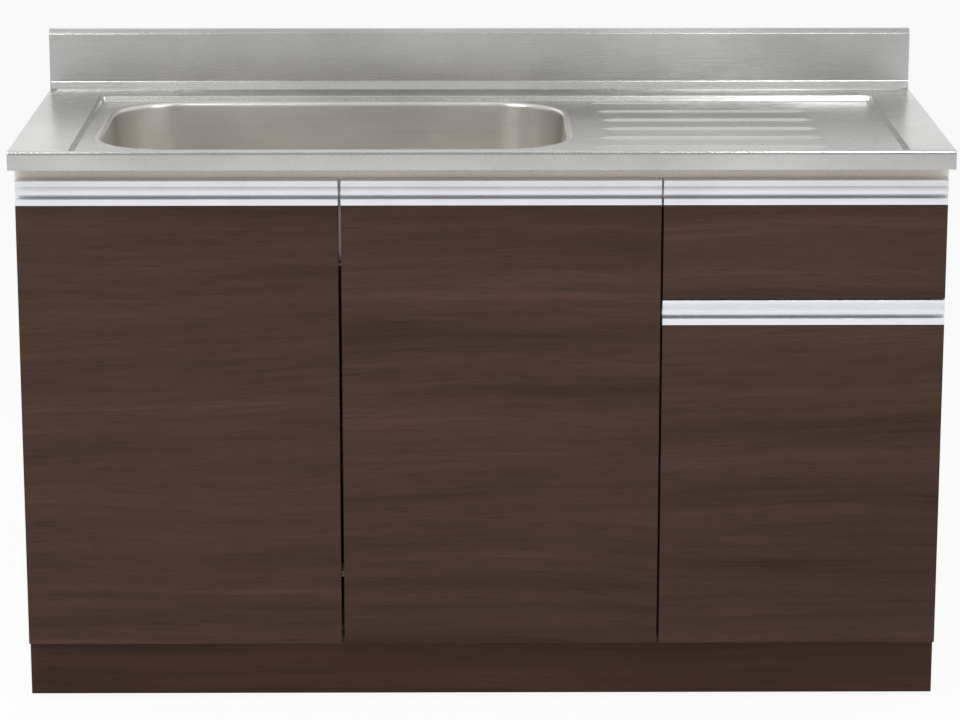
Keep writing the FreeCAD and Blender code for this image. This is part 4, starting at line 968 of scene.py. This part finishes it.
def makePerforatedTree(tile):
    tree, given = startTree("perforatedSheet", dict(perforated["floor"], Tile=tile))
    columns, rows = given["Columns"], given["Rows"]
    lattice = realize(tree, scatter(tree, row(tree, columns, (1, 0, 0)), row(tree, rows, (0, 1, 0))))
    tiles = realize(tree, scatter(tree, lattice, shapeOf(tree, given["Tile"])))
    # a strip closes the sheet's thickness along each of its two edges
    strip = sheet(tree, columns, 1.0, calc(tree, "ADD", columns, 1.0), 2)
    flat = split(tree, field(tree, "Position"))
    along = calc(tree, "MULTIPLY_ADD", columns, 0.5, flat[0])
    deep = calc(tree, "ADD", flat[1], 0.5)
    strips = [move(tree, strip, combine(tree, along, edge, deep)) for edge in (0.0, rows)]
    # wrapped round the drain: across becomes the angle, up the radius or the height
    place = split(tree, field(tree, "Position"))
    radius = product(tree, given["Radius"], calc(tree, "POWER", given["Growth"], place[1]))
    radius = calc(tree, "MULTIPLY_ADD", place[2], given["Outward"], radius)
    height = calc(tree, "MULTIPLY_ADD", place[1], given["Rise"], given["Base"])
    height = calc(tree, "MULTIPLY_ADD", place[2], given["Upward"], height)
    spot = roundWaste(tree, turnOf(tree, place[0], columns), radius, height)
    wrapped = {"Geometry": move(tree, join(tree, tiles, *strips), spot), "Distance": 0.00001}
    welded = addNode(tree, "GeometryNodeMergeByDistance", wrapped).outputs[0]
    endTree(tree, welded, finishes["waste_steel"])
    return tree


def makeBasketSheets():
    tile = makePerforatedTile()
    tree = makePerforatedTree(tile)
    for part in ("floor", "wall"):
        sizes = dict(perforated[part], Tile=tile)
        growPiece("basket" + part.capitalize(), tree, sizes, "basket", "waste_steel", angle=30)
    bpy.data.objects.remove(tile)


makeBasketSheets()


# Ribs and grips that go round the drain

ribSizes = ("Count", "Inner", "Outer", "Width", "Rise", "Taper", "Level")
radial = {
    # the node, its finish, whether they stand upright, and the sizes named above
    "coverRibs": ("drain_cover", "cover_rubber", False, (12, 0.0215, 0.0555, 0.0022, 0.0008, 0.002, 0.6095)),
    "bucketRibs": ("trap_body", "trap_plastic", True, (12, 0.506, 0.556, 0.0035, 0.002, 0.006, 0.0599)),
    "lockNutLugs": ("drain_lock_nut", "trap_plastic", True, (8, 0.599, 0.612, 0.014, 0.0062, 0.0012, 0.0773)),
    "outletNutGrips": ("outlet_nut", "grey_plastic", True, (12, 0.478, 0.494, 0.0045, 0.0021, 0.002, 0.0264)),
}


def makeRadialTree(name, upright, finish, sizes):
    # lying ribs point outwards at one level; upright ones stand on a cylinder
    tree, given = startTree(name, sizes)
    length = calc(tree, "SUBTRACT", given["Outer"], given["Inner"])
    rib = ribForm(tree, length, given["Width"], given["Rise"], given["Taper"], 24)
    angle = turnOf(tree, field(tree, "Index"), given["Count"])
    reach, height = ("Level", "Outer") if upright else ("Outer", "Level")
    spots = row(tree, given["Count"], (0, 0, 0))
    spots = move(tree, spots, roundWaste(tree, angle, given[reach], given[height]))
    # an upright rib hangs down from its upper end, its crest turned away from the middle
    lean, spin = (-math.pi / 2, calc(tree, "ADD", angle, math.pi)) if upright else (0.0, angle)
    endTree(tree, scatter(tree, spots, rib, Rotation=combine(tree, 0.0, lean, spin),
                          Scale=combine(tree, length, 1.0, 1.0)), finish)
    return tree


for name, (node, finish, upright, values) in radial.items():
    sizes = dict(zip(ribSizes, values))
    tree = makeRadialTree(name, upright, finishes[finish], sizes)
    growPiece(name, tree, sizes, bodyOf[node], slotOf[node], angle=50)
print("waste made")


# Rollers of the drawer runners

rollers = {
    # radius, depth from the side and rounding, from the bore out to the tyre
    "profile": ((2.06, 0, 0.2), (4.2, 0, 0.3), (4.5, 0.9, 0.3), (8.2, 0.9, 0.3), (8.5, 0, 0.3), (10, 0, 0.7)),
    "half": 3, "nodes": ("roller_front_left", "roller_front_right", "roller_rear_left", "roller_rear_right"),
}


def makeRollers():
    side = rollers["half"]
    profile = [(radius, depth - side, soft) for radius, depth, soft in rollers["profile"]]
    profile += [(radius, -depth, soft) for radius, depth, soft in profile[::-1]]
    for node in rollers["nodes"]:
        low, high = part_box(node)
        x, y, z = [(a + b) * 500 for a, b in zip(low, high)]
        shell = newShell()
        addTurned(shell, rounded(profile), lambda a, b, along: (x + along, y + a, z + b), 48)
        makePiece(node.replace("_", "-") + "-wheel", shell, bodyOf[node],
                  [finishes["white_plastic"]], (node,), angle=40)


makeRollers()


# Screws, pins and pads, seated on their boards and fittings by one node tree

hinges = {
    # edge of the door, way inward, levels, body of the door
    "left": (-643.5, 1, (166, 640), "door_left"),
    "centre": (248, -1, (166, 640), "door_centre"),
    "right": (643.5, -1, (166, 470), "door_right"),
}
hardware = {
    # head radius and height, shank radius and length, spread of the cross
    "screws": {"plateScrew": (4, 2, 2, 12.5, 0.62), "earScrew": (3.6, 0.8, 1.6, 6, 0.62),
               "armScrew": (3.2, 1.4, 1.5, 1.5, 0.7), "railScrew": (3, 0.6, 1.4, 1.0, 0.66)},
    "pinHead": ((0, -1.5), (0.8, -1.5), (0.8, 0), (1.7, 0), (1.6, 0.3, 0.1), (0, 0.4)),
    "bumper": ((0, 0), (4, 0, 0.1), (4, 0.7, 0.4), (2.6, 1.5, 0.8), (0, 1.7)),
    "shelfPin": ((0, -8), (2.2, -8, 0.4), (2.5, -7.4), (2.5, 0), (3.6, 0, 0.1), (3.6, 0.8, 0.3), (2.5, 0.8),
                 (2.5, 9.4), (2.1, 10, 0.3), (0, 10)),
    "carcassFront": -228, "backFace": 274.6,
    "pads": ((-215, 93.5), (-215, 739), (-179, 93.5), (-179, 739), (267, 93.5), (267, 578.5), (283, 739),
             (611.5, 739)),
}


def crossScrew(name, head, rise, shank, length, spread, finish):
    # a flat-topped head with a cross recess, seated on z = 0 and looking along Z
    shell = newShell()
    crown = 0.84 * head
    stem = [(0, -length), (0.4 * shank, -length + 0.2), (shank, min(-length + shank, -0.3)), (shank, 0),
            (head, 0), (head, 0.45 * rise), (crown, rise)]
    addTurned(shell, stem, steps=20, closed=False)
    arm, half = spread * head, 0.13 * head
    quarter = [(arm, -half), (arm, half), (half, half)]
    quarterTurns = ((1, 0), (0, 1), (-1, 0), (0, -1))
    cross = [(x * c - y * s, x * s + y * c) for c, s in quarterTurns for x, y in quarter]
    addFlat(shell, circle(0, 0, crown, 0, 20), [cross], lambda x, y: (x, y, rise))
    deep = [(0.7 * x, 0.7 * y, 0.3 * rise) for x, y in cross]
    addRows(shell, [[(x, y, rise) for x, y in cross], deep], closed=True)
    addFace(shell, deep)
    return makeForm(name, shell, [finish])


def turnedForm(name, profile, finish, steps=24):
    shell = newShell()
    addTurned(shell, rounded(profile, False), steps=steps, closed=False)
    return makeForm(name, shell, [finish])


def makeSeatedTree(item, finish):
    tree, given = startTree("seatedHardware", {"Item": item, "Size": 1.0, "Finish": finish})
    aim = addNode(tree, "GeometryNodeInputNamedAttribute", {"Name": "aim"}, data_type="FLOAT_VECTOR")
    turn = addNode(tree, "FunctionNodeAlignRotationToVector", {"Vector": aim.outputs[0]}, axis="Z").outputs[0]
    laid = scatter(tree, given["Geometry"], shapeOf(tree, given["Item"]), Rotation=turn,
                   Scale=combine(tree, given["Size"], given["Size"], given["Size"]))
    endTree(tree, laid, given["Finish"])
    return tree


def hingePlaces(door, inward, back, rises):
    edge, way, levels, body = hinges[door]
    return [(edge + way * inward, hardware["carcassFront"] + back, level + side * rise)
            for level in levels for rise in rises for side in (-1, 1)]


def seatPieces():
    h = hardware
    nickel = finishes["nickel"]
    forms = {name: crossScrew(name, *sizes, nickel) for name, sizes in h["screws"].items()}
    forms["pinHead"] = turnedForm("pinHead", h["pinHead"], nickel, 12)
    forms["bumper"] = turnedForm("bumper", h["bumper"], finishes["clear_rubber"])
    forms["shelfPin"] = turnedForm("shelfPin", h["shelfPin"], nickel)
    tree = makeSeatedTree(forms["plateScrew"], nickel)

    def seat(name, form, spots, body="cabinet", replaced=(), finish="nickel"):
        inputs = {"Item": forms[form], "Size": 1.0, "Finish": finishes[finish]}
        growPiece(name, tree, inputs, body, finish, replaced, 35, *zip(*spots))

    plates, arms = [], []
    for door, (edge, way, levels, body) in hinges.items():
        wing = 8 if door == "centre" else 14.5
        plates += [(place, (way, 0, 0)) for place in hingePlaces(door, wing, 37, (16,))]
        arms += [((edge + way * 16.5, h["carcassFront"] + back, level), (way, 0, 0))
                 for level in levels for back in (45, 68)]
        ears = [(place, (0, 1, 0)) for place in hingePlaces(door, 30.2, -1, (24,))]
        seat("earScrews-" + door, "earScrew", ears, body)
    seat("plateScrews", "plateScrew", plates, replaced=("hinge_screws",))
    seat("armScrews", "armScrew", arms)

    rail = [((x, y, 618), (way, 0, 0)) for x, way in ((258.2, 1), (629.8, -1)) for y in (-180, 0, 200)]
    seat("railScrews", "railScrew", rail)
    slide = [((x, y, 641), (way, 0, 0)) for x, way in ((268.3, -1), (619.7, 1)) for y in (-205, 0, 190)]
    seat("slideScrews", "railScrew", slide, "drawer")

    pins = [(x, z) for x in range(-600, 601, 150) for z in (94, 763)]
    pins += [(x, z) for x in (-639, 249.5, 639) for z in range(170, 731, 112)]
    pins = [((x, h["backFace"], z), (0, 1, 0)) for x, z in pins]
    seat("backPanelPins", "pinHead", pins)

    pads = [((x, h["carcassFront"], z), (0, -1, 0)) for x, z in h["pads"]]
    seat("frontPads", "bumper", pads, replaced=("front_bumpers",), finish="clear_rubber")
    supports = [((x, y, 327.5), (way, 0, 0)) for x, way in ((257, 1), (631, -1)) for y in (-140, 217)]
    seat("shelfPins", "shelfPin", supports, replaced=("shelf_pins",))
    for form in forms.values():
        bpy.data.objects.remove(form)


seatPieces()
print("screws, pins and pads seated")


# Studio: a pale floor that keeps the shadow, soft light and the photograph's camera

studio = {
    "cameraPlace": (-0.0339, -4.9591, 1.6513), "cameraTilt": 76.268, "cameraTurn": -0.379, "lens": 130.4,
    "floorTone": 0.86, "floorGlow": 0.88, "floorHalf": 60000, "worldLevel": 0.60,
    "lamps": {
        # place, aim, width, height in metres, power in watts, seen in reflections
        "overhead": ((0.0, -0.4, 3.2), (0, 0, 0.8), 3.4, 2.2, 17, False),
        "frontLeft": ((-2.4, -3.4, 2.2), (0, 0, 0.5), 1.8, 1.8, 16, True),
        "frontRight": ((2.8, -3.0, 1.8), (0, 0, 0.5), 1.4, 1.8, 9, True),
        "frontLow": ((0.0, -4.6, 0.5), (0, 0, 0.7), 3.6, 0.8, 26, False),
        "stripLeft": ((-1.1, -0.9, 2.3), (-0.3, 0.1, 0.75), 0.2, 1.2, 16, True),
        "stripRight": ((0.7, -0.9, 2.3), (0.0, 0.1, 0.75), 0.2, 1.2, 10, True),
    },
    # reflected room: place from front to back, level of grey
    "room": ((0.0, 0.50), (0.12, 0.34), (0.26, 0.46), (0.5, 0.78), (0.72, 0.92), (0.9, 1.0)),
}


def makeStudio():
    s = studio
    lens = bpy.data.cameras.new("photoLens")
    lens.lens = s["lens"]
    lens.sensor_width = 36
    lens.clip_end = 200
    camera = addObject("photoCamera", lens)
    camera.location = s["cameraPlace"]
    camera.rotation_euler = (math.radians(s["cameraTilt"]), 0, math.radians(s["cameraTurn"]))
    scene.camera = camera

    for name, (place, aim, width, height, power, seen) in s["lamps"].items():
        light = bpy.data.lights.new(name, "AREA")
        light.shape = "RECTANGLE"
        light.size, light.size_y, light.energy = width, height, power
        lamp = addObject(name, light)
        lamp.location = place
        lamp.rotation_euler = (Vector(aim) - Vector(place)).to_track_quat("-Z", "Y").to_euler()
        lamp.visible_glossy = seen

    world = bpy.data.worlds.new("studioWorld")
    scene.world = world
    world.use_nodes = True
    tree = world.node_tree
    tree.nodes.clear()
    ray = addNode(tree, "ShaderNodeLightPath").outputs
    depth = split(tree, addNode(tree, "ShaderNodeTexCoord").outputs["Generated"])[1]
    greys = [(share, (level, level, level, 1)) for share, level in s["room"]]
    room = ramp(tree, spread(tree, depth, -1, 1, 0, 1), greys)
    seen = calc(tree, "MAXIMUM", ray["Is Camera Ray"], ray["Is Transmission Ray"])
    mirrored = blend(tree, ray["Is Glossy Ray"], (1, 1, 1, 1), room)
    shown = calc(tree, "MAXIMUM", seen, ray["Is Glossy Ray"])
    plain = addNode(tree, "ShaderNodeBackground", {"Color": (0.97, 0.98, 1, 1), "Strength": s["worldLevel"]})
    white = addNode(tree, "ShaderNodeBackground", {"Color": mirrored, "Strength": 1.0})
    mix = addNode(tree, "ShaderNodeMixShader", {0: shown, 1: plain.outputs[0], 2: white.outputs[0]})
    tree.links.new(mix.outputs[0], addNode(tree, "ShaderNodeOutputWorld").inputs[0])

    half = s["floorHalf"]
    corners = [(-half, -half, 0), (half, -half, 0), (half, half, 0), (-half, half, 0)]
    floor = addObject("studioFloor", newMesh("studioFloor", corners, [(0, 1, 2, 3)]))
    material = bpy.data.materials.new("paleFloor")
    material.use_nodes = True
    tree = material.node_tree
    tree.nodes.clear()
    ray = addNode(tree, "ShaderNodeLightPath").outputs
    tone = s["floorTone"]
    matt = addNode(tree, "ShaderNodeBsdfDiffuse", {"Color": (tone, tone, tone, 1)})
    glow = addNode(tree, "ShaderNodeEmission", {"Color": (1, 1, 1, 1), "Strength": 1.0})
    seen = calc(tree, "MAXIMUM", ray["Is Camera Ray"], ray["Is Glossy Ray"])
    share = product(tree, seen, s["floorGlow"])
    mix = addNode(tree, "ShaderNodeMixShader", {0: share, 1: matt.outputs[0], 2: glow.outputs[0]})
    tree.links.new(mix.outputs[0], addNode(tree, "ShaderNodeOutputMaterial").inputs[0])
    floor.data.materials.append(material)
    scene.view_settings.view_transform = "Standard"


makeStudio()
print("studio ready")
